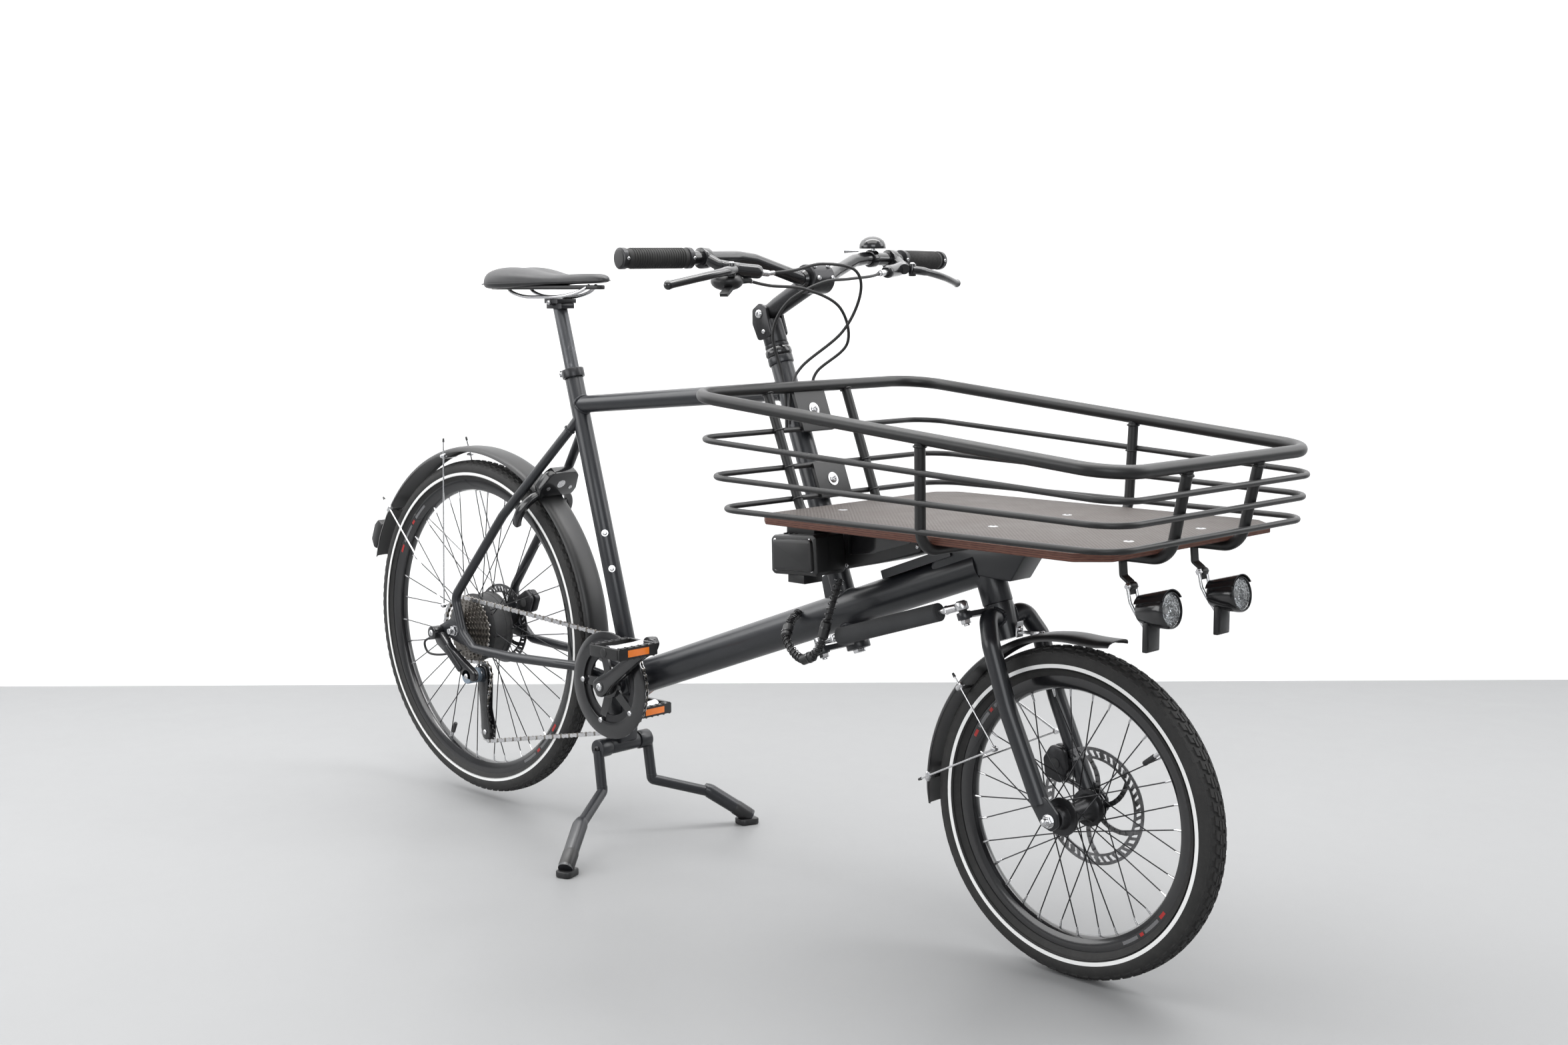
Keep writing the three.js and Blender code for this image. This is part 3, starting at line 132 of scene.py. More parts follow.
MAT = {
    "paint": surface("frame_satin", (0.0125, 0.0135, 0.0165), 0.34, 0.1, 1500, 0.18, 0.0002, worn=(0.055, 0.058, 0.065), wear=(0.72, 0.80), coat=0.15),
    "tube": surface("basket_powder", (0.0055, 0.0055, 0.0058), 0.40, 0.0, 2200, 0.3, 0.00025, worn=(0.04, 0.04, 0.04), wear=(0.76, 0.82)),
    "gloss": surface("gloss_black", (0.008, 0.008, 0.009), 0.16, 0.0, 700, 0.04, 0.0002, coat=0.4),
    "plastic": surface("satin_plastic", (0.009, 0.009, 0.0095), 0.38, 0.0, 2600, 0.35, 0.00018),
    "matte": surface("matte_black", (0.020, 0.020, 0.021), 0.6, 0.0, 1800, 0.4, 0.0003, dust=(0.06, 0.058, 0.055)),
    "rubber": surface("tyre_rubber", (0.013, 0.0127, 0.0125), 0.72, 0.0, 1300, 0.5, 0.0004, dust=(0.045, 0.042, 0.039)),
    "foam": surface("foam_grip", (0.042, 0.043, 0.045), 0.88, 0.0, 2400, 0.9, 0.0006, vary=0.3),
    "saddle": surface("saddle_skin", (0.021, 0.021, 0.0225), 0.45, 0.0, 1100, 0.55, 0.0003, dust=(0.045, 0.045, 0.046)),
    "steel": surface("bright_steel", (0.62, 0.62, 0.63), 0.24, 1.0, 1200, 0.12, 0.0002, vary=0.1),
    "worn": surface("worn_steel", (0.26, 0.245, 0.225), 0.42, 1.0, 700, 0.3, 0.0003, vary=0.35, worn=(0.09, 0.07, 0.055), wear=(0.5, 0.7)),
    "post": surface("worn_post", (0.075, 0.077, 0.082), 0.34, 0.7, 1400, 0.3, 0.0002, vary=0.25, worn=(0.30, 0.30, 0.31), wear=(0.60, 0.75), stretch=(6, 6, 0.3)),
    "alloy": surface("dark_alloy", (0.030, 0.030, 0.032), 0.32, 0.6, 1200, 0.15, 0.0002, vary=0.2),
    "disc": surface("disc_steel", (0.20, 0.20, 0.205), 0.3, 1.0, 900, 0.25, 0.0002, vary=0.3, worn=(0.07, 0.068, 0.066), wear=(0.45, 0.7)),
    "spoke": surface("black_spoke", (0.03, 0.03, 0.032), 0.3, 0.8, 900, 0.05, 0.0002),
    "reflect": surface("reflective_line", (0.80, 0.80, 0.79), 0.45, 0.0, 3000, 0.3, 0.0002, vary=0.06),
    "red": surface("red_mark", (0.35, 0.015, 0.014), 0.35, 0.0, 1000, 0.05),
    "greymark": surface("grey_mark", (0.13, 0.13, 0.135), 0.35, 0.0, 1000, 0.05),
    "orange": surface("orange_reflector", (0.75, 0.18, 0.015), 0.2, 0.0, 400, 0.5, 0.0005, coat=0.5),
    "paleblue": surface("pale_knuckle", (0.27, 0.33, 0.40), 0.3, 0.6, 1200, 0.1),
    "weld": surface("weld_bead", (0.017, 0.0185, 0.022), 0.38, 0.1, 420, 0.6, 0.0005),
    "redlens": surface("red_lens", (0.22, 0.008, 0.008), 0.12, 0.0, 300, 0.4, 0.0004, coat=0.6),
}


def _chrome():
    m, nt, b = _tree("lamp_reflector")
    n = _noise(nt, 120, 3)
    nt.links.new(_mix(nt, n, (0.78, 0.79, 0.8), (0.9, 0.9, 0.9)), b.inputs["Base Color"])
    b.inputs["Metallic"].default_value = 1
    nt.links.new(_range(nt, n, 0.3, 0.7, 0.06, 0.16), b.inputs["Roughness"])
    v = nt.nodes.new("ShaderNodeTexVoronoi"); v.inputs["Scale"].default_value = 260
    tc = nt.nodes.new("ShaderNodeTexCoord"); nt.links.new(tc.outputs["Object"], v.inputs["Vector"])
    nt.links.new(_bump(nt, v.outputs["Distance"], 0.6, 0.0015), b.inputs["Normal"])
    return m


def _clear():
    m, nt, b = _tree("clear_lens")
    b.inputs["Transmission Weight"].default_value = 1.0
    b.inputs["IOR"].default_value = 1.46
    n = _noise(nt, 500, 2)
    nt.links.new(_mix(nt, n, (0.93, 0.95, 0.96), (0.99, 0.99, 1.0)), b.inputs["Base Color"])
    nt.links.new(_range(nt, n, 0.3, 0.7, 0.02, 0.07), b.inputs["Roughness"])
    return m


def _deck():
    """Phenolic-faced plywood: a pressed wire-mesh grid, greyed by dust."""
    m, nt, b = _tree("mesh_faced_ply")
    tc = nt.nodes.new("ShaderNodeTexCoord")
    waves = []
    for rot in (math.radians(45), math.radians(-45)):
        mp = nt.nodes.new("ShaderNodeMapping"); mp.inputs["Rotation"].default_value = (0, 0, rot)
        w = nt.nodes.new("ShaderNodeTexWave"); w.inputs["Scale"].default_value = 62; w.inputs["Distortion"].default_value = 0.5
        w.inputs["Detail"].default_value = 1
        nt.links.new(tc.outputs["Object"], mp.inputs[0]); nt.links.new(mp.outputs[0], w.inputs["Vector"])
        waves.append(w.outputs["Fac"])
    mul = nt.nodes.new("ShaderNodeMath"); mul.operation = "MULTIPLY"
    nt.links.new(waves[0], mul.inputs[0]); nt.links.new(waves[1], mul.inputs[1])
    slow = _noise(nt, 9, 8, 0.65); fine = _noise(nt, 260, 5, 0.6)
    base = _mix(nt, slow, (0.028, 0.021, 0.018), (0.066, 0.055, 0.050))
    col = _mix(nt, _range(nt, mul.outputs[0], 0.15, 0.8, 0, 0.6), base, (0.115, 0.104, 0.098))
    col = _mix(nt, _range(nt, fine, 0.6, 0.75, 0, 0.4), col, (0.15, 0.135, 0.125))
    nt.links.new(col, b.inputs["Base Color"])
    nt.links.new(_range(nt, slow, 0.3, 0.7, 0.52, 0.72), b.inputs["Roughness"])
    nt.links.new(_bump(nt, mul.outputs[0], 0.7, 0.0007), b.inputs["Normal"])
    return m


def _ply_edge():
    m, nt, b = _tree("ply_edge")
    tc = nt.nodes.new("ShaderNodeTexCoord")
    w = nt.nodes.new("ShaderNodeTexWave"); w.bands_direction = "Z"; w.inputs["Scale"].default_value = 105
    w.inputs["Distortion"].default_value = 1.2; w.inputs["Detail"].default_value = 3; w.inputs["Detail Scale"].default_value = 0.6
    nt.links.new(tc.outputs["Object"], w.inputs["Vector"])
    g = _noise(nt, 90, 6, 0.6, (1, 1, 8))
    col = _mix(nt, w.outputs["Fac"], (0.050, 0.014, 0.009), (0.135, 0.046, 0.027))
    col = _mix(nt, _range(nt, g, 0.45, 0.75, 0, 0.5), col, (0.20, 0.095, 0.06))
    nt.links.new(col, b.inputs["Base Color"]); b.inputs["Roughness"].default_value = 0.62
    nt.links.new(_bump(nt, g, 0.5, 0.0006), b.inputs["Normal"])
    return m


MAT["chrome"] = _chrome(); MAT["clear"] = _clear(); MAT["deck"] = _deck(); MAT["ply"] = _ply_edge()


# ------------------------------------------------------------------- geometry
def rounded(pts, radius, step=7.0):
    p = [Vector(q) for q in pts]
    out = [p[0]]
    for i in range(1, len(p) - 1):
        r = radius[i - 1] if isinstance(radius, (list, tuple)) else radius
        u = p[i - 1] - p[i]; v = p[i + 1] - p[i]
        lu, lv = u.length, v.length
        u.normalize(); v.normalize()
        turn = math.pi - u.angle(v)
        if turn < 0.03 or r < 0.5:
            out.append(p[i]); continue
        t = min(r * math.tan(turn / 2), 0.47 * lu, 0.47 * lv)
        R = t / math.tan(turn / 2)
        c = p[i] + (u + v).normalized() * (R / math.cos(turn / 2))
        a = p[i] + u * t - c; b = p[i] + v * t - c
        ax = a.cross(b).normalized()
        n = max(2, math.ceil(turn / math.radians(step)))
        for k in range(n + 1):
            out.append(c + Quaternion(ax, turn * k / n) @ a)
    out.append(p[-1])
    return out


def spline(pts, n=8):
    """Catmull-Rom through points."""
    p = [Vector(q) for q in pts]
    p = [p[0] * 2 - p[1]] + p + [p[-1] * 2 - p[-2]]
    out = []
    for i in range(1, len(p) - 2):
        for k in range(n):
            t = k / n
            out.append(0.5 * ((2 * p[i]) + (p[i + 1] - p[i - 1]) * t + (2 * p[i - 1] - 5 * p[i] + 4 * p[i + 1] - p[i + 2]) * t * t
                              + (3 * p[i] - p[i - 1] - 3 * p[i + 1] + p[i + 2]) * t ** 3))
    out.append(p[-2])
    return out


class Piece:
    def __init__(self):
        self.v, self.f, self.m, self.mats = [], [], [], []

    def slot(self, mat):
        if mat not in self.mats:
            self.mats.append(mat)
        return self.mats.index(mat)

    def add(self, verts, faces, mat):
        o, s = len(self.v), self.slot(mat)
        self.v.extend(verts)
        for f in faces:
            self.f.append([i + o for i in f]); self.m.append(s)
        return self

    def tube(self, pts, r, mat="paint", n=20, caps=True, closed=False, squash=None):
        pts = [Vector(p) for p in pts]
        q = [pts[0]]
        for p in pts[1:]:
            if (p - q[-1]).length > 1e-3:
                q.append(p)
        pts = q
        if closed and (pts[0] - pts[-1]).length < 1e-3:
            pts.pop()
        N = len(pts)
        rr = r if isinstance(r, (list, tuple)) else [r] * N
        tan = []
        for i in range(N):
            a = pts[(i - 1) % N] if (closed or i > 0) else pts[i]
            b = pts[(i + 1) % N] if (closed or i < N - 1) else pts[i]
            tan.append((b - a).normalized())
        ref = Z if abs(tan[0].z) < 0.9 else X
        nrm = (ref - tan[0] * ref.dot(tan[0])).normalized()
        verts, faces = [], []
        for i in range(N):
            if i:
                nrm = tan[i - 1].rotation_difference(tan[i]) @ nrm
                nrm = (nrm - tan[i] * nrm.dot(tan[i])).normalized()
            bi = tan[i].cross(nrm)
            for k in range(n):
                a = 2 * math.pi * k / n
                verts.append(pts[i] + nrm * (rr[i] * math.cos(a)) + bi * (rr[i] * math.sin(a) * (squash or 1)))
        for i in range(N if closed else N - 1):
            j = (i + 1) % N
            for k in range(n):
                l = (k + 1) % n
                faces.append([i * n + k, i * n + l, j * n + l, j * n + k])
        if caps and not closed:
            faces.append([k for k in range(n)][::-1])
            faces.append([(N - 1) * n + k for k in range(n)])
        return self.add(verts, faces, mat)

    def rod(self, a, b, r, mat="paint", n=24, r2=None, soft=0.0):
        a, b = Vector(a), Vector(b)
        d = (b - a).normalized()
        r2 = r if r2 is None else r2
        if soft:
            return self.tube([a, a + d * soft * 0.3, a + d * soft, b - d * soft, b - d * soft * 0.3, b],
                             [r - soft, r - soft * 0.3, r, r2, r2 - soft * 0.3, r2 - soft], mat, n)
        return self.tube([a, b], [r, r2], mat, n)

    def lathe(self, profile, c, d, mat="paint", n=48, closed=True, a0=0.0, a1=360.0):
        """profile (r, h) about direction d from c. closed joins its last point to its first."""
        c, d = Vector(c), Vector(d).normalized()
        ref = X if abs(d.x) < 0.9 else Z
        u = (ref - d * ref.dot(d)).normalized(); w = d.cross(u)
        full = abs(a1 - a0) >= 359.9
        N = n if full else n + 1
        P = len(profile)
        verts, faces = [], []
        for i in range(N):
            a = math.radians(a0 + (a1 - a0) * i / n)
            e = u * math.cos(a) + w * math.sin(a)
            for r, h in profile:
                verts.append(c + e * r + d * h)
        for i in range(n):
            j = (i + 1) % N
            for k in range(P if closed else P - 1):
                l = (k + 1) % P
                q = [i * P + k, i * P + l, j * P + l, j * P + k]
                if profile[k][0] < 1e-6: q = [i * P + k, i * P + l, j * P + l]
                elif profile[l][0] < 1e-6: q = [i * P + k, i * P + l, j * P + k]
                if profile[k][0] < 1e-6 and profile[l][0] < 1e-6: continue
                faces.append(q)
        if not full and closed:
            faces.append([k for k in range(P)]); faces.append([(N - 1) * P + k for k in range(P)][::-1])
        return self.add(verts, faces, mat)

    def prism(self, pts, origin, ex, ey, depth, mat="paint", bevel=0.0):
        """outline in (ex, ey) at origin, extruded along ex x ey by depth, with chamfered rims."""
        origin, ex, ey = Vector(origin), Vector(ex).normalized(), Vector(ey).normalized()
        ez = ex.cross(ey)
        area = sum(pts[i][0] * pts[(i + 1) % len(pts)][1] - pts[(i + 1) % len(pts)][0] * pts[i][1] for i in range(len(pts)))
        if area < 0: pts = pts[::-1]
        n = len(pts)
        def inset(d):
            out = []
            for i in range(n):
                a, b, c = Vector(pts[i - 1]), Vector(pts[i]), Vector(pts[(i + 1) % n])
                e0 = (b - a).normalized(); e1 = (c - b).normalized()
                n0 = Vector((-e0.y, e0.x)); n1 = Vector((-e1.y, e1.x))
                m = (n0 + n1)
                m = m / max(0.35, m.length_squared / 2) if m.length > 1e-6 else n0
                out.append(b + m * d)
            return out
        layers = [(0.0, 0.0), (depth, 0.0)] if not bevel else [(0, bevel), (bevel * 0.3, bevel * 0.3), (bevel, 0), (depth - bevel, 0), (depth - bevel * 0.3, bevel * 0.3), (depth, bevel)]
        verts, faces = [], []
        for h, d in layers:
            for q in (inset(d) if d else [Vector(p) for p in pts]):
                verts.append(origin + ex * q[0] + ey * q[1] + ez * h)
        L = len(layers)
        for i in range(L - 1):
            for k in range(n):
                l = (k + 1) % n
                faces.append([i * n + k, i * n + l, (i + 1) * n + l, (i + 1) * n + k])
        faces.append([k for k in range(n)][::-1]); faces.append([(L - 1) * n + k for k in range(n)])
        return self.add(verts, faces, mat)

    def bar(self, a, b, w, h, mat="paint", up=(0, 0, 1), bevel=1.2):
        a, b = Vector(a), Vector(b)
        z = (b - a).normalized(); x = Vector(up).cross(z).normalized(); y = z.cross(x)
        q = [(-w / 2, -h / 2), (w / 2, -h / 2), (w / 2, h / 2), (-w / 2, h / 2)]
        return self.prism(q, a, x, y, (b - a).length, mat, min(bevel, w * 0.3, h * 0.3, (b - a).length * 0.3))

    def slab_y(self, pts, y0, y1, mat="paint", bevel=1.0, soften=0.0):
        if soften:
            pts = round2d(pts, soften)
        return self.prism([(p[0], p[1]) for p in pts], (0, y1, 0), X, Z, y1 - y0, mat, bevel)

    def slab_z(self, pts, z0, z1, mat="paint", bevel=1.0, soften=0.0):
        if soften:
            pts = round2d(pts, soften)
        return self.prism(pts, (0, 0, z0), X, Y, z1 - z0, mat, bevel)

    def ball(self, c, r, mat, n=16, scale=(1, 1, 1)):
        prof = [(math.sin(math.pi * i / n) * r if 0 < i < n else 0.0, -math.cos(math.pi * i / n) * r) for i in range(n + 1)]
        o = len(self.v)
        self.lathe(prof, c, Z, mat, n * 2, closed=False)
        c = Vector(c)
        for i in range(o, len(self.v)):
            q = self.v[i] - c
            self.v[i] = c + Vector((q.x * scale[0], q.y * scale[1], q.z * scale[2]))
        return self

    def bolt(self, c, d, r=4.5, h=3.2, mat="steel", hexed=True, socket=True):
        """button head with a round socket recess, its base on c, standing along d."""
        c, d = Vector(c), Vector(d).normalized()
        prof = [(0, -0.4), (r * 0.98, -0.4), (r, h * 0.25), (r * 0.9, h * 0.62), (r * 0.66, h * 0.92), (r * 0.46, h)]
        prof += [(r * 0.40, h * 0.35), (0, h * 0.35)] if socket else [(0, h * 1.02)]
        return self.lathe(prof, c, d, mat, 18 if not socket else 18, closed=False)

    def nut(self, c, d, r=7, h=6, mat="steel"):
        c, d = Vector(c), Vector(d).normalized()
        self.lathe([(0, 0), (r * 0.9, 0), (r, h * 0.14), (r, h * 0.86), (r * 0.9, h), (0, h)], c, d, mat, 6, closed=False)
        return self

    def make(self, name, body, replaces=(), slot=None, angle=34, subsurf=0):
        me = bpy.data.meshes.new(name)
        me.from_pydata([((p.x - OX) / 1000, p.y / 1000, p.z / 1000) for p in self.v], [], self.f)
        me.polygons.foreach_set("material_index", self.m)
        for k in self.mats:
            me.materials.append(MAT[k])
        bm = bmesh.new(); bm.from_mesh(me)
        bmesh.ops.remove_doubles(bm, verts=bm.verts, dist=1e-6)
        bmesh.ops.dissolve_degenerate(bm, edges=bm.edges, dist=1e-7)
        bmesh.ops.recalc_face_normals(bm, faces=bm.faces)
        lim = math.radians(angle)
        for e in bm.edges:
            if len(e.link_faces) == 2 and e.calc_face_angle(0) > lim:
                e.smooth = False
        for f in bm.faces:
            f.smooth = True
        bm.to_mesh(me); bm.free()
        ob = bpy.data.objects.new(name, me)
        bpy.context.scene.collection.objects.link(ob)
        if subsurf:
            s = ob.modifiers.new("s", "SUBSURF"); s.levels = s.render_levels = subsurf
        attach(ob, body)
        if replaces:
            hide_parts(*([replaces] if isinstance(replaces, str) else replaces))
        return ob


def round2d(pts, r, n=4):
    out = rounded([(*pts[-1], 0), *[(*p, 0) for p in pts], (*pts[0], 0)], r, 90 / n)
    return [(p.x, p.y) for p in out[1:-1]]


def at(c, r, deg, y):
    return Vector((c[0] + r * math.cos(math.radians(deg)), y, c[2] + r * math.sin(math.radians(deg))))


def weld(pc, a0, a1, ra, b0, b1, rb, mat="weld", size=2.6, seed=1):
    """bead where tube a (ending near b) meets tube b."""
    a0, a1, b0, b1 = map(Vector, (a0, a1, b0, b1))
    d = (a1 - a0).normalized(); u = (b1 - b0).normalized()
    ref = Y if abs(d.y) < 0.9 else X
    e1 = (ref - d * ref.dot(d)).normalized(); e2 = d.cross(e1)
    rnd = random.Random(seed)
    ring, sizes = [], []
    n = 64
    for i in range(n):
        t = 2 * math.pi * i / n
        p = a1 + (e1 * math.cos(t) + e2 * math.sin(t)) * (ra + 0.4)
        w = p - b0
        w = w - u * w.dot(u); dd = d - u * d.dot(u)
        A, B, C = dd.length_squared, 2 * w.dot(dd), w.length_squared - (rb + 0.4) ** 2
        disc = B * B - 4 * A * C
        if disc < 0 or A < 1e-9:
            s = -B / (2 * max(A, 1e-9))
        else:
            s = (-B - math.sqrt(disc)) / (2 * A)
        ring.append(p + d * s)
        sizes.append(size * (1 + 0.14 * math.sin(i * 2.4) + rnd.uniform(-0.06, 0.06)))
    return pc.tube(ring, sizes, mat, 8, closed=True)


def ring_weld(pc, c, d, r, size=2.2, mat="weld", seed=1):
    c, d = Vector(c), Vector(d).normalized()
    ref = Y if abs(d.y) < 0.9 else X
    e1 = (ref - d * ref.dot(d)).normalized(); e2 = d.cross(e1)
    n = 48
    rnd = random.Random(seed)
    return pc.tube([c + (e1 * math.cos(2 * math.pi * i / n) + e2 * math.sin(2 * math.pi * i / n)) * r for i in range(n)],
                   [size * (1 + 0.15 * math.sin(i * 2.3) + rnd.uniform(-.05, .05)) for i in range(n)], mat, 8, closed=True)


# ---------------------------------------------------------------------- frame
DOWN_END = V(1272, 0, 604)
SEAT_TOP = V(298, 0, 855); SEAT_LOW = V(455.5, 0, 304)
seat_dir = (SEAT_TOP - SEAT_LOW).normalized()
seat_at = lambda k: SEAT_TOP + seat_dir * k
TOP_A, TOP_B = V(305, 0, 806), V(857, 0, 853)
COL_BOTTOM = on_axis(COLUMN_TOP, -476)
f = Piece()
f.rod((452, -36, 304), (452, 36, 304), 21, n=40, soft=1.2)
f.tube([BB, BB.lerp(DOWN_END, 0.5), DOWN_END], 30, n=48)
f.rod(SEAT_LOW, SEAT_TOP, 17, n=40, soft=0.8)
f.tube([TOP_A, TOP_B], 16, n=40)
f.rod(COLUMN_TOP, COL_BOTTOM, 19, n=40, soft=1)
f.rod(on_axis(COLUMN_TOP, -0.5), on_axis(COLUMN_TOP, -14), 21.3, n=40, soft=1.6)
f.rod(on_axis(COLUMN_TOP, -462), on_axis(COLUMN_TOP, -476.4), 21.3, n=40, soft=1.6)
f.rod(on_axis(FORK_P, 90), on_axis(FORK_P, 4), 23.5, n=40, soft=1.4)
f.slab_y([(1180, 590), (1215, 641.5), (1374, 641.5), (1338, 587), (1262, 590)], -26, 26, bevel=2.5, soften=5)
f.slab_z([(1192, -56), (1391, -56), (1391, 56), (1192, 56)], 642, 648.4, bevel=1.2, soften=10)
f.bar((1086, 0, 571), (1225, 0, 622), 60, 14, bevel=2)
f.slab_y([(932, 548), (944, 500), (1000, 520), (962, 566)], -5, 5, bevel=1.4, soften=5)
f.slab_y([(400, 300), (446, 290), (440, 186), (402, 186)], -20, 20, bevel=3, soften=6)
f.rod((420, -34, 180), (420, 34, 180), 15, n=28, soft=1)
weld(f, TOP_B, TOP_A, 16, SEAT_LOW, SEAT_TOP, 17, seed=1)
weld(f, TOP_A, TOP_B, 16, COL_BOTTOM, COLUMN_TOP, 19, seed=2)
weld(f, DOWN_END, BB, 30, (452, -50, 304), (452, 50, 304), 21, seed=3)
weld(f, SEAT_TOP, SEAT_LOW, 17, (452, -50, 304), (452, 50, 304), 21, seed=4)
weld(f, COLUMN_TOP, on_axis(COLUMN_TOP, -400), 19, BB, DOWN_END, 30, seed=5)
weld(f, on_axis(COLUMN_TOP, -520), on_axis(COLUMN_TOP, -440), 19, BB, DOWN_END, 30, seed=6)
for k in (99, 228):
    c = on_axis(COLUMN_TOP, -k); f.rod(c, c + V(0.9351, 0, 0.3543) * 36.6, 9, n=24, soft=0.8)
for k in (-1, 1):
    f.bolt((1378, k * 40, 641.8), (0, 0, -1), 5, 4, "steel")
    f.bolt((1206, k * 44, 641.8), (0, 0, -1), 5, 4, "steel")
# bottle bolts, low on the front of the seat tube
for z in (570, 505.5):
    p = SEAT_LOW.lerp(SEAT_TOP, (z - 304) / 551)
    dirn = V(0.75, -0.66, 0.2).normalized(); dirn = (dirn - seat_dir * dirn.dot(seat_dir)).normalized()
    f.bolt(p + dirn * 16.6, dirn, 4.6, 3.4, "steel")
    f.lathe([(4.6, -0.3), (6.2, -0.3), (6.2, 0.7), (4.6, 0.7)], p + dirn * 16.8, dirn, "steel", 20)
f.make("frame_tubes", "frame", "main_frame", "frame_paint")

stay_path = rounded([(318, -9, 781), (303, -14, 762), (288, -20, 744), (150, -60, 590), (6, -72, 418), (28, -72, 350), (62, -72, 322), (182, -68, 320), (296, -53, 322), (345, -35, 320), (432, -30, 308)],
                    [10, 20, 60, 26, 30, 26, 60, 40, 40], 5)
for s, tag in ((-1, "right"), (1, "left")):
    p = Piece()
    pts = [V(q.x, q.y * -s, q.z) for q in stay_path]
    p.tube(pts, 9, n=24)
    y0, y1 = (63, 70) if s > 0 else (-70, -63)
    plate = [(2, 412), (-14, 372), (-56, 352), (-64, 338), (-52, 330), (-20, 334), (0, 328), (34, 322), (60, 318), (34, 352)] if s < 0 else \
        [(2, 412), (-14, 372), (-16, 340), (0, 328), (34, 322), (60, 318), (34, 352), (20, 395)]
    p.slab_y(plate, y0, y1, bevel=1.4, soften=4)
    ring_weld(p, (301, s * 15.5, 760), pts[1] - pts[0], 9.2, 2.0)
    p.make("rear_stay_" + tag + "_tube", "frame", "rear_stay_" + tag, "frame_paint")

p = Piece()
p.lathe([(17.6, 1), (20.6, 1), (21, 2.4), (21, 15.6), (20.4, 17), (14.6, 17), (14.6, 8), (17.6, 8)], SEAT_TOP, seat_dir, "alloy", 40)
p.bar((277, -12, 862), (277, 12, 862), 15, 12, "alloy", bevel=2)
p.bolt((277, -12, 862), (0, -1, 0), 4.5, 4, "steel")
p.make("seat_clamp_ring", "frame", "seat_clamp", "black_alloy")

# ------------------------------------------------------------ seatpost, saddle
post_top = seat_at(140)
p = Piece()
p.rod(seat_at(-112), post_top, 13.2, "post", 36, soft=0.6)
p.bar((post_top.x - 21, 0, post_top.z - 1), (post_top.x + 25, 0, post_top.z - 1), 32, 10, "alloy", bevel=3)
p.bar((post_top.x - 18, 0, post_top.z + 8), (post_top.x + 22, 0, post_top.z + 8), 46, 8, "alloy", bevel=2.5)
p.rod((post_top.x, -24, post_top.z + 6), (post_top.x, 24, post_top.z + 6), 6, "alloy", 20, soft=1)
for y in (-25, 25):
    p.bolt((post_top.x, y, post_top.z + 6), (0, y, 0), 4.6, 4, "steel")
for s in (-1, 1):
    p.tube(spline([(138, s * 27, 1024), (150, s * 26, 1014), (185, s * 24, 1006), (230, s * 22, 1005), (285, s * 21, 1006), (330, s * 14, 1014), (356, s * 8, 1026)], 6), 3.5, "steel", 14)
p.make("seatpost_and_rails", "seat", "seatpost", "worn_steel")

stations = [(101, 40, 1044, 1028), (106, 58, 1052, 1024), (120, 73, 1060, 1020), (150, 80, 1063.5, 1020), (190, 71, 1060, 1022), (230, 53, 1052, 1026),
            (270, 37, 1047, 1029), (320, 25.5, 1048.5, 1030), (365, 20.5, 1049.5, 1031), (386, 16, 1046.5, 1032), (396, 8, 1041, 1034)]
p = Piece()
prof = lambda w, top, bot: [(w * 0.80, bot - 1), (w * 0.97, bot + 2), (w, bot + (top - bot) * 0.28), (w * 0.955, bot + (top - bot) * 0.62), (w * 0.80, bot + (top - bot) * 0.86),
                            (w * 0.45, top - 0.6), (w * 0.16, top - 1.6), (0, top - 2.4)]
rings = []
for x, w, top, bot in stations:
    h = prof(w, top, bot)
    h = [(a, min(b, top)) for a, b in h]
    rings.append([V(x, a, b) for a, b in h] + [V(x, -a, b) for a, b in h[:-1][::-1]])
n = len(rings[0])
verts = [q for r in rings for q in r]
faces = []
for i in range(len(rings) - 1):
    for k in range(n):
        l = (k + 1) % n
        faces.append([i * n + k, i * n + l, (i + 1) * n + l, (i + 1) * n + k])
faces.append(list(range(n))); faces.append([(len(rings) - 1) * n + k for k in range(n)][::-1])
p.add(verts, faces, "saddle")
sad = p.make("saddle_cover", "seat", "saddle", "saddle_cover", angle=180, subsurf=2)
p = Piece()
for s in (-1, 1):   # piped seam along each edge, and the moulded base under it
    p.tube(spline([(x, s * (w * 1.0 + 0.2), bot + (top - bot) * 0.22) for x, w, top, bot in stations], 6), 0.8, "matte", 8)
p.slab_z([(118, -52), (150, -62), (190, -54), (240, -36), (330, -15), (384, -9), (384, 9), (330, 15), (240, 36), (190, 54), (150, 62), (118, 52)], 1019, 1027, "plastic", 2, 8)
p.make("saddle_base_and_seam", "seat", (), "saddle_cover")


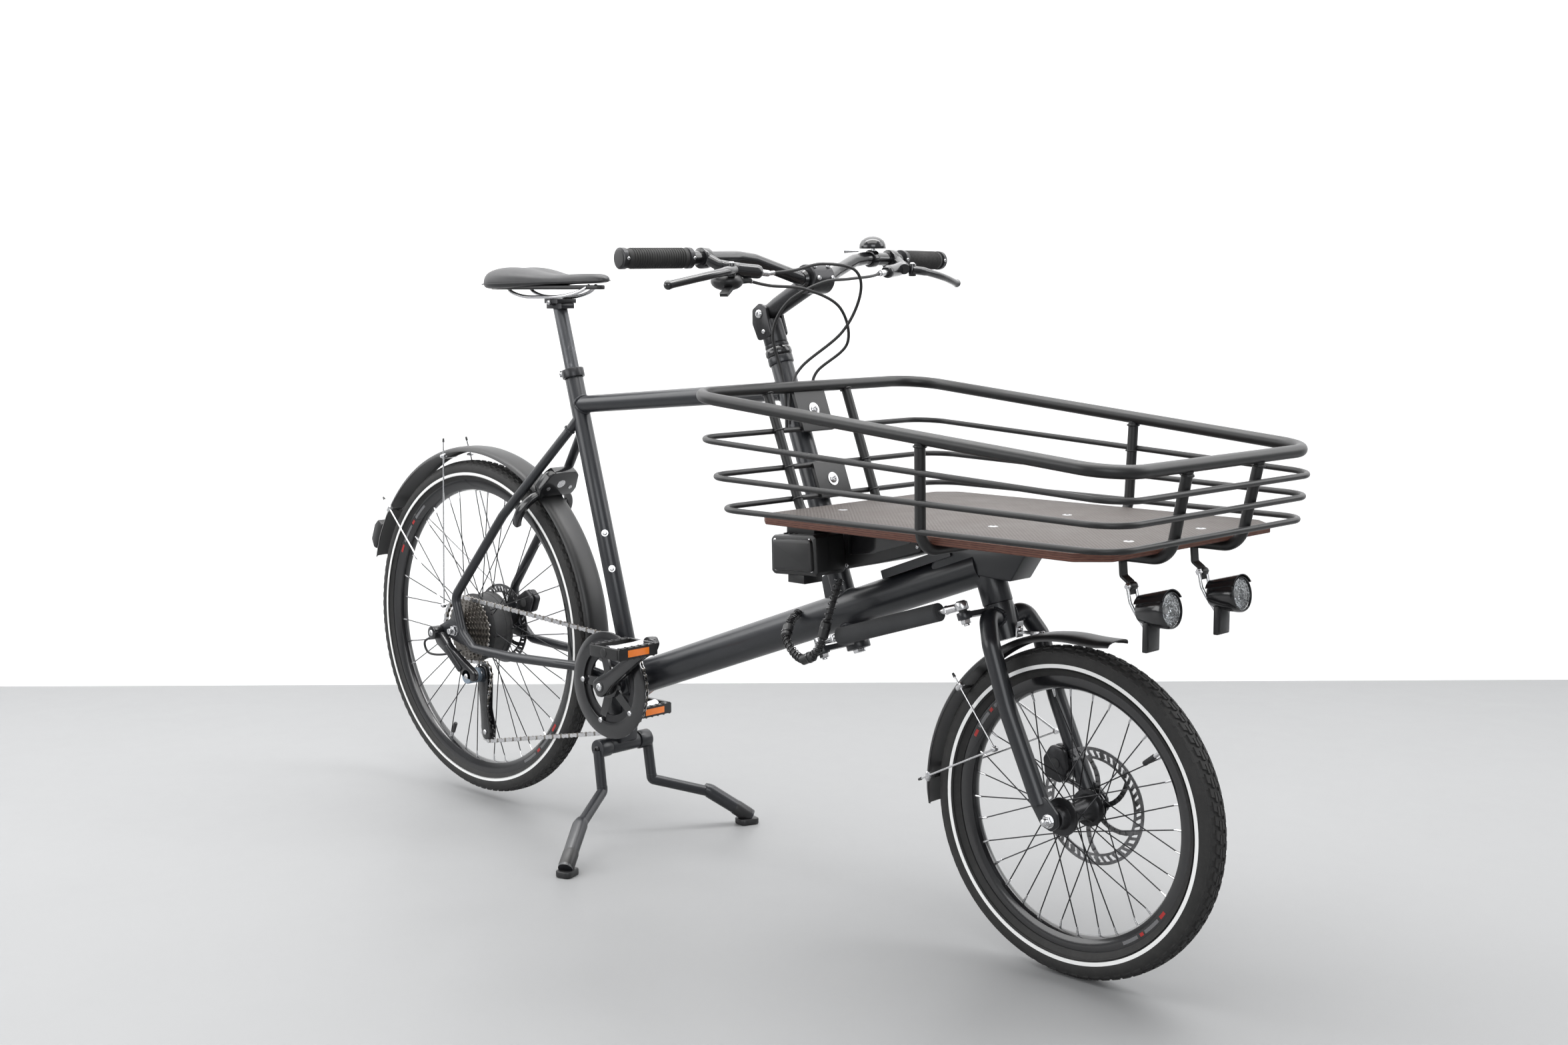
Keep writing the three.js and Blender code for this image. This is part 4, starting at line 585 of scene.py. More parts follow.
# -------------------------------------------------------------------- wheels
def wheel(axle, tag, body, R, W, rim_r, rim_in, nspoke, hub_r, hub_y, cross, phase, refl_r, blocks):
    c = Vector(axle); h = W / 2
    p = Piece()
    Rb = R - 2.6
    prof = [(rim_r - 3, -h * 0.62), (rim_r + 4, -h * 0.80), (rim_r + 11, -h * 0.96), (rim_r + (R - rim_r) * 0.55, -h), (R - 11, -h * 0.93), (R - 6, -h * 0.80), (Rb - 1, -h * 0.50), (Rb, -h * 0.2)]
    prof = prof + [(r, -y) for r, y in prof[::-1]]
    p.lathe(prof, c, Y, "rubber", 144)
    rad_at = lambda y: Rb - 0.2 - max(0, abs(y) / h - 0.2) ** 2.2 * 15
    def block(a0, a1, y0, y1, skew=0.0, mat="rubber", lift=2.6):
        vs = []
        for (lift_, ins) in ((-1.2, 0.0), (lift, 0.10)):
            for (a, y) in ((a0, y0), (a1, y0), (a1, y1), (a0, y1)):
                ac, yc = (a0 + a1) / 2, (y0 + y1) / 2
                aa = ac + (a - ac) * (1 - ins); yy = yc + (y - yc) * (1 - ins)
                aa += skew * (yy - y0)
                r = min(R, rad_at(yy) + lift_)
                vs.append(at(c, r, aa, yy))
        p.add(vs, [[3, 2, 1, 0], [4, 5, 6, 7], [0, 1, 5, 4], [1, 2, 6, 5], [2, 3, 7, 6], [3, 0, 4, 7]], mat)
    st = 360 / blocks
    for i in range(blocks):
        a = i * st
        for s in (-1, 1):
            block(a + 0.08 * st, a + 0.80 * st, s * 0.8, s * h * 0.24, s * 0.10)
            block(a + 0.42 * st, a + 1.12 * st, s * h * 0.30, s * h * 0.55, s * 0.12)
            block(a + (0.0 if i % 2 else 0.1) * st, a + 0.66 * st, s * h * 0.60, s * h * 0.90, s * 0.05, lift=1.7)
    for s in (-1, 1):
        # reflective line and a fine moulded rib on each sidewall
        yy = s * (h * 0.975 + 0.1)
        p.lathe([(refl_r - 2.9, yy - s * 0.9), (refl_r - 2.9, yy), (refl_r + 2.9, yy), (refl_r + 2.9, yy - s * 0.9)], c, Y, "reflect", 144)
        for rr in (rim_r + 6.5, rim_r + (R - rim_r) * 0.42):
            p.lathe([(rr - 0.5, s * h * 0.86), (rr - 0.5, s * (h * 0.9 + 1.3)), (rr + 0.5, s * (h * 0.93 + 1.3)), (rr + 0.5, s * h * 0.86)], c, Y, "rubber", 96)
    p.make(tag + "_tyre_tread", body, tag + "_tyre", "tyre_rubber")
    # rim
    p = Piece()
    w = 13.6
    rp = [(rim_r - 1, -w), (rim_r + 1.2, -w + 0.6), (rim_r + 1.2, -w + 2.2), (rim_r - 5, -w + 2.6), (rim_r - 7, 0), (rim_r - 5, w - 2.6), (rim_r + 1.2, w - 2.2), (rim_r + 1.2, w - 0.6), (rim_r - 1, w),
          (rim_in + 10, w - 1.0), (rim_in + 3, 9), (rim_in + 0.4, 4), (rim_in, 0), (rim_in + 0.4, -4), (rim_in + 3, -9), (rim_in + 10, -w + 1.0)]
    p.lathe(rp, c, Y, "gloss", 144)
    for s in (-1, 1):   # plain coloured marks on the rim's sides, no lettering
        for base in (34, 206):
            for a0, a1, m in ((0, 3.5, "red"), (5, 14, "greymark"), (15, 17, "red"), (18.5, 27, "greymark")):
                y = s * (w - 0.82)
                p.lathe([(rim_in + 12.5, y - s * 0.3), (rim_in + 12.5, y + s * 0.35), (rim_in + 17.5, y + s * 0.62), (rim_in + 17.5, y - s * 0.2)], c, Y, m, 8, a0=base + a0, a1=base + a1)
    p.make(tag + "_rim_hoop", body, tag + "_rim", "black_alloy")
    # spokes and nipples
    p = Piece()
    for i in range(nspoke):
        side = 1 if i % 2 else -1
        lead = 1 if (i // 2) % 2 else -1
        a = phase + 360 * i / nspoke
        a_hub = at(c, hub_r - 1.5, a + lead * cross, side * (hub_y + lead * 1.6))
        a_rim = at(c, rim_in - 8, a, side * (3.5 + lead * 0.3)); end = at(c, rim_in + 1, a, side * (3.2 + lead * 0.3))
        p.tube([a_hub, a_rim], 1.0, "spoke", 8)
        p.tube([at(c, hub_r - 1.5, a + lead * cross, side * (hub_y + lead * 1.6)), at(c, hub_r - 1.5, a + lead * cross, side * (hub_y - lead * 3.0))], 1.5, "spoke", 8)
        d = (end - a_rim).normalized()
        p.tube([a_rim - d * 4, a_rim + d * 2, end], [1.35, 1.75, 2.1], "steel", 8)
    va = {"rear": 244.3, "front": 38.6}[tag]
    v0, v1 = at(c, rim_in + 2, va, 0), at(c, rim_in - 34, va, 0)
    p.tube([v0, v0.lerp(v1, 0.4)], 3.1, "steel", 14); p.tube([v0.lerp(v1, 0.38), v0.lerp(v1, 0.95), v1], [4.1, 4.1, 3.2], "matte", 14)
    p.make(tag + "_spokes_and_nipples", body, tag + "_spokes", "worn_steel")


wheel(REAR, "rear", "rear_wheel", 334, 42, 298.5, 273, 36, 67, 20, 14, 4, 307.5, 108)
wheel(FRONT, "front", "front_wheel", 250, 47, 209.5, 185, 32, 27, 33, 55, 3, 222, 78)


def rotor(p, c, y, r, inner, n, mat="disc", turn=0.0):
    """brake disc: outer band with slots, swept arms, centre ring."""
    t = 1.8
    c = Vector(c)
    p.lathe([(r - 5, y), (r, y + 0.1), (r, y + t - 0.1), (r - 5, y + t)], c, Y, mat, 96)
    p.lathe([(r - 17.5, y), (r - 13.5, y), (r - 13.5, y + t), (r - 17.5, y + t)], c, Y, mat, 96)
    m = 44
    for i in range(m):
        a = 360 * i / m + turn
        q0, q1 = at(c, r - 14, a, y), at(c, r - 4.5, a + 4.5, y)
        p.bar(q0 + Y * t / 2, q1 + Y * t / 2, t * 0.98, 4.6 if i % 4 else 7.5, mat, up=at((0, 0, 0), 1, a + 95, 0), bevel=0.2)
    for i in range(n):
        a = 360 * i / n + turn
        pts = [at(c, inner - 3 + (r - 15 - inner + 3) * k / 6, a + 26 * (k / 6) ** 1.3, y + t / 2) for k in range(7)]
        p.tube(pts, 3.6, mat, 8, squash=None) if False else None
        for k in range(6):
            p.bar(pts[k], pts[k + 1] + (pts[k + 1] - pts[k]) * 0.15, t * 0.97, 7.5, mat, up=(pts[k + 1] - pts[k]).cross(Y), bevel=0.2)
    p.lathe([(inner - 8, y), (inner, y), (inner, y + t), (inner - 8, y + t)], c, Y, mat, 48)
    for i in range(6):
        p.bolt(at(c, inner - 4, 60 * i + 10, y + t), Y, 4.0, 2.4, "steel")


p = Piece()
p.lathe([(9, -33), (30, -33), (38, -32.4), (52, -29.5), (60, -25.5), (64.5, -22.8), (68, -21.6), (68, -18.4), (66, -17.2), (66, -8), (65, -7.4), (65, 7.4), (66, 8), (66, 17.2), (68, 18.4), (68, 21.6), (64.5, 22.8),
         (60, 26.5), (50, 29.5), (34, 33.2), (27, 34), (24, 38), (22, 42), (22, 50), (9, 50)], REAR, Y, "matte", 96)
for i in range(9):
    p.bolt(at(REAR, 57, 40 * i, 27.6), Y, 3.2, 2.2, "steel"); p.bolt(at(REAR, 57, 40 * i + 12, -27.2), -Y, 3.2, 2.2, "steel")
rotor(p, REAR, 46, 80, 24, 6)
p.make("hub_motor_shell", "rear_wheel", "rear_hub_motor", "black_alloy")
p = Piece()
p.lathe([(6, -52), (14, -52), (16, -50.5), (16.5, -42), (19, -37), (28, -36.4), (28.6, -35), (28.6, -33), (28, -31.6), (20, -30.5), (16, -26), (15, -14), (15, 12), (17, 24), (22, 29.4), (28, 30.4), (28.6, 31.6), (28.6, 33.4),
         (28, 34.6), (21, 36), (20, 38), (20, 50.5), (18, 52), (6, 52)], FRONT, Y, "alloy", 64)
rotor(p, FRONT, 45, 90, 24, 6, turn=12)
p.make("front_hub_shell", "front_wheel", "front_hub", "black_alloy")


def axle(name, c, half, body, node, acorn):
    p = Piece()
    p.rod(V(c) - Y * half, V(c) + Y * half, 4.6 if acorn else 5.7, "steel", 20, soft=0.6)
    for s in (-1, 1):
        yo = 66.4 if acorn else 70.5
        p.nut(V(c) + Y * s * yo, Y * s, 9 if acorn else 10, 7.5, "steel")
        p.lathe([(0, 0), (10.5, 0), (10.5, 1.6), (0, 1.6)], V(c) + Y * s * (yo - 0.1), Y * s, "steel", 28, closed=False)
        if acorn:
            p.lathe([(0, 9), (3, 8.8), (5.4, 7), (6.2, 3.4), (6.2, 0), (0, 0)], V(c) + Y * s * (yo + 6), Y * s, "steel", 24, closed=False)
        p.lathe([(4, 0), (9.5, 0), (9.5, 4.6), (4, 4.6)], V(c) + Y * s * (53 if acorn else 58.6), Y * s, "matte", 28)
    p.make(name, body, node, "bright_steel")


axle("front_axle_and_nuts", FRONT, 80, "fork", "front_axle", True)
axle("rear_axle_and_nuts", REAR, 86, "frame", "rear_axle", False)


# ------------------------------------------------------------------ mudguards
def guard(name, c, R, d0, d1, w, body, node, flare=0.0):
    p = Piece()
    n = 60
    sec = [(-w, -10), (-w * 0.97, -6.5), (-w * 0.86, -3), (-w * 0.66, -0.9), (-w * 0.4, 0.2), (0, 0.5), (w * 0.4, 0.2), (w * 0.66, -0.9), (w * 0.86, -3), (w * 0.97, -6.5), (w, -10),
           (w - 1.6, -10), (w * 0.84, -5.2), (w * 0.6, -2.9), (0, -1.7), (-w * 0.6, -2.9), (-w * 0.84, -5.2), (-w + 1.6, -10)]
    verts, faces = [], []
    S = len(sec)
    for i in range(n + 1):
        t = i / n
        a = d0 + (d1 - d0) * t
        k = 1 - 0.10 * max(0, (t - 0.94) / 0.06) - 0.10 * max(0, (0.03 - t) / 0.03)
        lift = flare * max(0, (0.10 - t) / 0.10) ** 2
        for y, h in sec:
            verts.append(at(c, R + lift + h * (1 if k > 0.99 else 0.92), a, y * k))
    for i in range(n):
        for k in range(S):
            l = (k + 1) % S
            faces.append([i * S + k, i * S + l, (i + 1) * S + l, (i + 1) * S + k])
    faces.append(list(range(S))[::-1]); faces.append([n * S + k for k in range(S)])
    p.add(verts, faces, "plastic")
    return p


p = guard("", REAR, 362, -1.5, 162, 27.5, "frame", "")
p.rod((196, -0.1, 652), (196, 0.1, 652), 0.5, "plastic")
p.make("rear_mudguard_blade", "frame", "rear_mudguard", "black_plastic")
p = guard("", FRONT, 269, 75, 187, 29, "fork", "", flare=9)
p.bar((1340, 0, 508), (1376, 0, 510), 15, 2.6, "steel", bevel=0.6); p.bar((1337, 0, 500), (1337, 0, 524), 15, 2.6, "steel", up=(1, 0, 0), bevel=0.6)
p.bolt((1338, 0, 512), (1, 0, 0), 5.5, 3.6, "steel"); p.bolt(at(FRONT, 269.5, 104, 0), at((0, 0, 0), 1, 104, 0), 5, 2.4, "steel")
p.make("front_mudguard_blade", "fork", "front_mudguard", "black_plastic")


def wires(name, c, foot, R, angles, w, over, body, node):
    p = Piece()
    for deg in angles:
        cc = at(c, R, deg, 0)
        for s in (-1, 1):
            clamp = V(cc.x, s * w, cc.z); ft = V(foot[0], s * foot[1], foot[2])
            d = (clamp - ft).normalized(); end = clamp + d * over
            p.tube([ft, clamp, end], 1.6, "steel", 10)
            p.tube([end - d * 6, end + d * 1.5], [2.4, 2.0], "matte", 10)
            tang = at((0, 0, 0), 1, deg + 90, 0)
            p.rod(clamp - tang * 6.5, clamp + tang * 6.5, 4.4, "steel", 16, soft=0.8)
            p.bolt(clamp + tang * 6.5, tang, 3.4, 2.4, "steel")
        b = at(c, R - 4, deg, 0)
        p.bar(b - Y * (w + 1), b + Y * (w + 1), 8, 1.5, "steel", up=at((0, 0, 0), 1, deg, 0), bevel=0.4)
    for s in (-1, 1):
        p.rod((foot[0], s * (foot[1] - 3), foot[2]), (foot[0], s * (foot[1] + 3), foot[2]), 4.6, "steel", 16, soft=0.6)
        p.bolt((foot[0], s * (foot[1] + 3), foot[2]), (0, s, 0), 4.2, 3, "steel")
    p.make(name, body, node, "bright_steel")


wires("rear_stay_wires", REAR, (-24, 78, 398), 348, (102.5, 141), 33, 34, "frame", "rear_mudguard_stays")
wires("front_stay_wires", FRONT, (1352, 76.5, 344), 255, (139, 176.5), 35, 26, "fork", "front_mudguard_stays")

p = Piece()
poly = [at(REAR, r, d, 0) for r, d in ((384, 150.6), (390, 153), (389, 158), (376, 160), (365.4, 160), (365.4, 150.6))]
p.slab_y([(q.x, q.z) for q in poly], -20.5, 20.5, "plastic", 3, 5)
o = at(REAR, 389.4, 155.4, 0); e = at((0, 0, 0), 1, 155.4, 0)
p.prism(round2d([(-17, -14), (17, -14), (17, 14), (-17, 14)], 6), o - e * 1.5, Y, at((0, 0, 0), 1, 245.4, 0), 3.2, "redlens", 0.8)
p.make("rear_light_case", "frame", "rear_light", "black_plastic")

# ------------------------------------------------------------------ ring lock
LR = math.radians(54); lrad = V(math.cos(LR), 0, math.sin(LR)); ltan = V(-math.sin(LR), 0, math.cos(LR))
LC = REAR + lrad * 316 - ltan * 14
lpt = lambda y, r: LC + lrad * r + Y * y
ring = lambda r, d0, d1, n: [lpt(r * math.cos(math.radians(d0 + (d1 - d0) * i / n)), r * math.sin(math.radians(d0 + (d1 - d0) * i / n))) for i in range(n + 1)]
p = Piece()
arc = ring(57.2, -26, 206, 48)
sec_n = 20
for grow, mat in ((1, "gloss"),):
    verts, faces = [], []
    for i, q in enumerate(arc):
        out = (q - LC).normalized()
        for k in range(sec_n):
            a = 2 * math.pi * k / sec_n
            ca, sa = math.cos(a), math.sin(a)
            sx = math.copysign(abs(ca) ** 0.6, ca) * 7.1; sy = math.copysign(abs(sa) ** 0.6, sa) * 8.4
            verts.append(q + out * sx + ltan * sy)
    for i in range(len(arc) - 1):
        for k in range(sec_n):
            l = (k + 1) % sec_n
            faces.append([i * sec_n + k, i * sec_n + l, (i + 1) * sec_n + l, (i + 1) * sec_n + k])
    faces.append(list(range(sec_n))); faces.append([(len(arc) - 1) * sec_n + k for k in range(sec_n)][::-1])
    p.add(verts, faces, mat)
p.prism(round2d([(-40, 50), (40, 50), (44, 66), (36, 98), (26, 108), (-26, 108), (-36, 98), (-44, 66)], 8), LC + ltan * 7, Y, lrad, 19, "gloss", 3)
p.rod(lpt(0, 80) - ltan * 12, lpt(0, 80) - ltan * 12.8, 9, "steel", 28); p.rod(lpt(-26, 70) - ltan * 12, lpt(-26, 70) - ltan * 13, 4, "steel", 20); p.rod(lpt(26, 70) - ltan * 12, lpt(26, 70) - ltan * 13, 4, "steel", 20)
p.make("ring_lock_shell", "frame", "ring_lock_body", "black_plastic")
Piece().tube(ring(57, -23, 117, 40), 3.6, "steel", 14).make("ring_lock_shackle", "ring_bolt", "ring_lock_bolt", "bright_steel")

# ---------------------------------------------------------------------- stand
p = Piece()
p.rod((420, -58, 180), (420, 58, 180), 7.6, n=24)
for s in (-1, 1):
    p.rod((420, s * 35.5, 180), (421, s * 62, 180), 17, n=32, soft=1.5)
    p.rod((421, s * 59.8, 177), (431.4, s * 61, 106), 9.7, n=28)
    p.tube(rounded([(431, s * 60.8, 112), (432, s * 61, 102), (487, s * 162, 67)], 9, 8), 9.9, n=28)
    p.tube([(481, s * 151, 75), (484, s * 156, 72), (486, s * 160, 69), (527, s * 228, 14)], [10.8, 12.6, 13.8, 13.4], n=24)
    p.slab_z([(500, s * 206), (516, s * 244), (546, s * 236), (534, s * 200)], 0.2, 12, "plastic", 2.5, 9)
    p.tube([(511, s * 201, 36), (513, s * 204, 33), (524, s * 223, 17), (526, s * 226, 15)], [13.4, 14.4, 14.6, 13.4], "plastic", 24)
    p.bolt((421, s * 62, 180), (0, s, 0), 6, 4, "alloy")
p.make("stand_legs", "stand", "kickstand", "frame_paint")

# ----------------------------------------------------------------- driveline
def cog(p, c, y0, y1, r, teeth, mat, hole=0.0):
    prof = []
    for i in range(teeth):
        for da, rr in ((-0.36, r - 3.4), (-0.18, r - 0.6), (-0.08, r), (0.08, r), (0.18, r - 0.6), (0.36, r - 3.4)):
            a = math.radians(360 * (i + da + 0.5) / teeth)
            prof.append((c[0] + rr * math.cos(a), c[2] + rr * math.sin(a)))
    if hole:
        n = len(prof)
        verts, faces = [], []
        for y in (y0, y1):
            for q in prof: verts.append(V(q[0], y, q[1]))
            for q in prof:
                a = math.atan2(q[1] - c[2], q[0] - c[0]); verts.append(V(c[0] + hole * math.cos(a), y, c[2] + hole * math.sin(a)))
        for i in range(n):
            j = (i + 1) % n
            faces += [[i, j, n + j, n + i], [2 * n + i, 3 * n + i, 3 * n + j, 2 * n + j], [i, 2 * n + i, 2 * n + j, j], [n + i, n + j, 3 * n + j, 3 * n + i]]
        p.add(verts, faces, mat)
    else:
        p.slab_y(prof, y0, y1, mat, 0)


BBa = (452, 0, 304)
p = Piece()
cog(p, BBa, -47.6, -45.2, 91.5, 44, "alloy", 70)
p.lathe([(70, -59), (72, -59.6), (97.5, -59.6), (99, -58.6), (99, -57), (97.5, -56.2), (70, -56.6)], BBa, Y, "gloss", 96)
p.lathe([(56, -55), (76, -55), (76, -51), (56, -51)], BBa, Y, "alloy", 72)
for i in range(5):
    a = 35 + 72 * i
    q = at(BBa, 72, a, 0)
    p.rod((q.x, -58.6, q.z), (q.x, -44.2, q.z), 5.6, "alloy", 20, soft=0.6)
    p.bolt((q.x, -59.6, q.z), (0, -1, 0), 5, 2.2, "steel")
p.make("chainring_and_guard", "crank", "chainring", "black_alloy")


def crank_arm(tag, s, ang):
    p = Piece()
    q0, q1 = at(BBa, 0, ang, s * 75), at(BBa, 170, ang, s * 75)
    d = (q1 - q0).normalized()
    side = d.cross(Y).normalized()
    outline = [(-17, -11), (-8, -17.5), (8, -17.5), (30, -13), (120, -11), (158, -13.5), (172, -13.6), (183, -7), (184, 7), (172, 13.6), (158, 13.5), (120, 11), (30, 13), (8, 17.5), (-8, 17.5), (-17, 11)]
    y = Y * s
    o = q0 + y * -6
    ex = d; ey = side if ex.cross(side).dot(y) > 0 else -side
    p.prism(round2d(outline, 7), o, ex, ey, 12, "gloss", 2.4)
    p.rod(q0 + y * -14, q0 + y * 3, 18, "gloss", 36, soft=1.5); p.rod(q1 + y * -3, q1 + y * 11, 13.6, "gloss", 32, soft=1.5)
    p.rod(q0 + y * 5, q0 + y * 7, 10.5, "matte", 28, soft=0.5); p.bolt(q0 + y * 6.6, y, 7, 2.4, "steel")
    p.rod(q0 - y * 40, q0 - y * 10, 11, "steel", 24)
    if s < 0:
        for i in range(5):
            a = ang + 72 * i
            b = at(BBa, 71, a, -53); r = at(BBa, 10, a, -53)
            p.bar(r, b, 6.5, 17, "gloss", up=(0, 1, 0), bevel=1.6) if False else p.bar(r, b, 17, 5, "gloss", up=(0, 1, 0), bevel=1.6)
        p.rod((452, -60, 304), (452, -50, 304), 24, "gloss", 36, soft=1.2)
    p.make("crank_arm_" + tag, "crank", "crank_" + tag, "black_alloy")
    c = V(q1.x, 0, q1.z)
    p = Piece()
    P = lambda x, yy, z: V(c.x + x, s * yy, c.z + z)
    p.rod(P(0, 84, 0), P(0, 184, 0), 8.5, "steel", 24, soft=1)
    p.tube([P(0, 100, 0), P(0, 118, 0), P(0, 160, 0), P(0, 178, 0)], [11, 9.6, 9.6, 11.5], "steel", 24)
    for xx in (-34, 34):
        p.bar(P(xx, 97, 0), P(xx, 186, 0), 11, 20, "plastic", up=(0, 0, 1), bevel=2.4)
        for k in range(6):    # grip pins and ribs
            for zz in (1, -1):
                p.bar(P(xx + math.copysign(1, xx), 104 + 15 * k, zz * 9), P(xx + math.copysign(1, xx), 108 + 15 * k, zz * 9), 8, 5, "plastic", bevel=0.9)
        sx = math.copysign(1, xx)
        p.bar(P(xx + sx * 5.2, 118, 0), P(xx + sx * 5.2, 166, 0), 2.4, 12, "orange", bevel=0.6)
    for yy in (98, 184):
        p.bar(P(-36, yy, 0), P(36, yy, 0), 7, 19, "plastic", up=(0, 0, 1), bevel=2)
    p.bar(P(-31, 141, 0), P(31, 141, 0), 8, 9, "plastic", bevel=1.5)
    p.rod(P(0, 186, 0), P(0, 188.5, 0), 8, "plastic", 24, soft=0.6)
    p.make("pedal_cage_" + tag, "pedal_r" if s < 0 else "pedal_l", "pedal_" + tag, "black_plastic")


crank_arm("right", -1, 35); crank_arm("left", 1, 215)

JU, JL = V(62, 0, 270), V(71, 0, 153)
p = Piece()
for i, r in enumerate([66, 60, 54, 48, 42.5, 37, 31.5, 26]):
    y = -33.9 - 3.15 * i
    cog(p, (0, 0, 349), y - 2.1, y, r, max(11, int(r * 0.5) + 1), "worn", max(12, r - 17 if i < 5 else 14))
p.lathe([(13, -33.4), (30, -33.4), (30, -34.6), (16.5, -36), (16.5, -57.8), (13, -57.8)], REAR, Y, "worn", 36)
p.rod((0, -58, 349), (0, -57, 349), 15, "steel", 28)
p.make("cassette_sprockets", "sprockets", "cassette", "worn_steel")


def tangent_pts(c1, r1, s1, c2, r2, s2):
    """points where a belt leaves circle 1 and meets circle 2; s is +1 for clockwise travel"""
    d = c2 - c1; L = math.hypot(d.x, d.z); base = math.atan2(d.z, d.x)
    k = (s1 * r1 - s2 * r2) / L
    a = math.acos(max(-1, min(1, k)))
    th = base + a
    n = (math.cos(th), math.sin(th))
    return (c1.x + s1 * r1 * n[0], c1.z + s1 * r1 * n[1]), (c2.x + s2 * r2 * n[0], c2.z + s2 * r2 * n[1])


# belt: cassette top -> chainring top, around it, back to the lower jockey, over the upper jockey, to the cassette
CH = [(V(0, 0, 349), 64.0, 1), (V(452, 0, 304), 88.0, 1), (V(71, 0, 153), 19.5, 1), (V(62, 0, 270), 19.5, -1)]
segs = []
for i in range(4):
    c1, r1, s1 = CH[i]; c2, r2, s2 = CH[(i + 1) % 4]
    segs.append(tangent_pts(c1, r1, s1, c2, r2, s2))
path = []
for i in range(4):
    c, r, s = CH[i]
    pin = segs[i - 1][1]; pout = segs[i][0]
    a0 = math.atan2(pin[1] - c.z, pin[0] - c.x); a1 = math.atan2(pout[1] - c.z, pout[0] - c.x)
    if s > 0:
        while a1 > a0: a1 -= 2 * math.pi
    else:
        while a1 < a0: a1 += 2 * math.pi
    n = max(3, int(abs(a1 - a0) / 0.08))
    for k in range(n + 1):
        a = a0 + (a1 - a0) * k / n
        path.append((c.x + r * math.cos(a), c.z + r * math.sin(a)))
cum = [0.0]
M_ = len(path)
for i in range(M_):
    a, b = path[i], path[(i + 1) % M_]
    cum.append(cum[-1] + math.hypot(b[0] - a[0], b[1] - a[1]))
total = cum[-1]
nl = int(round(total / 12.7 / 2)) * 2
def on_chain(s):
    s %= total
    lo, hi = 0, M_
    while hi - lo > 1:
        m = (lo + hi) // 2
        if cum[m] <= s: lo = m
        else: hi = m
    t = (s - cum[lo]) / max(1e-6, cum[lo + 1] - cum[lo])
    a, b = path[lo], path[(lo + 1) % M_]
    return V(a[0] + (b[0] - a[0]) * t, -46, a[1] + (b[1] - a[1]) * t)
p = Piece()
pins = [on_chain(total * i / nl) for i in range(nl)]
for i in range(nl):
    a, b = pins[i], pins[(i + 1) % nl]
    d = (b - a).normalized(); up = d.cross(Y)
    ho = 2.9 if i % 2 else 2.0
    L = (b - a).length
    outline = []
    for k in range(7):
        t = math.radians(90 + 180 * k / 6); outline.append((4.1 * math.cos(t), 4.1 * math.sin(t)))
    outline += [(L * 0.35, -2.9), (L * 0.65, -2.9)]
    for k in range(7):
        t = math.radians(-90 + 180 * k / 6); outline.append((L + 4.1 * math.cos(t), 4.1 * math.sin(t)))
    outline += [(L * 0.65, 2.9), (L * 0.35, 2.9)]
    ez = d.cross(up)
    for sgn in (-1, 1):
        yc = sgn * ho
        o = a + Y * (yc - (0.45 if ez.y > 0 else -0.45))
        p.prism(outline, o, d, up, 0.9, "steel" if i % 2 else "worn", 0)
    p.tube([a - Y * 3.5, a + Y * 3.5], 1.9, "steel", 8)
    p.tube([a - Y * 1.9, a + Y * 1.9], 3.6, "worn", 10)
p.make("chain_links", "frame", "chain", "worn_steel")

for tag, c, node in (("upper", JU, "jockey_upper"), ("lower", JL, "jockey_lower")):
    p = Piece()
    cog(p, (c.x, 0, c.z), -47.6, -44.4, 18.6, 11, "plastic", 7)
    p.lathe([(4, -50.6), (8.5, -50.6), (8.5, -42.4), (4, -42.4)], (c.x, 0, c.z), Y, "steel", 28)
    p.make("jockey_wheel_" + tag, "jockey_u" if tag == "upper" else "jockey_l", node, "black_plastic")
p = Piece()
cage = [(50, 284), (48, 262), (56, 206), (58, 160), (62, 141), (72, 137), (83, 143), (85, 158), (76, 200), (80, 262), (74, 284)]
p.slab_y(cage, -55.2, -52.4, "gloss", 0.8, 7); p.slab_y(cage, -41.2, -39.4, "gloss", 0.6, 7)
for c in (JU, JL):
    p.rod((c.x, -56.5, c.z), (c.x, -38.8, c.z), 3.4, "steel", 16); p.bolt((c.x, -56.3, c.z), (0, -1, 0), 5, 2, "steel")
p.slab_y([(-58, 338), (-46, 318), (-6, 296), (40, 262), (74, 256), (80, 276), (40, 296), (0, 318), (-30, 344)], -84, -71, "gloss", 3.5, 10)
p.rod((52, -84, 266), (52, -54.5, 266), 15, "paleblue", 36, soft=2); p.bolt((52, -84, 266), (0, -1, 0), 5.5, 2.6, "steel")
p.rod((-50, -92, 341), (-50, -70.5, 341), 13, "gloss", 32, soft=1.6); p.bolt((-50, -92, 341), (0, -1, 0), 6, 2.2, "steel")
p.slab_y([(-20, 312), (30, 272), (40, 280), (-10, 322)], -87, -83, "alloy", 1, 3)
p.tube(spline([(-58, -80, 332), (-84, -84, 318), (-78, -80, 296), (-40, -74, 296), (20, -72, 312)], 6), 2.3, "matte", 12)
p.make("derailleur_body", "frame", "derailleur", "black_alloy")

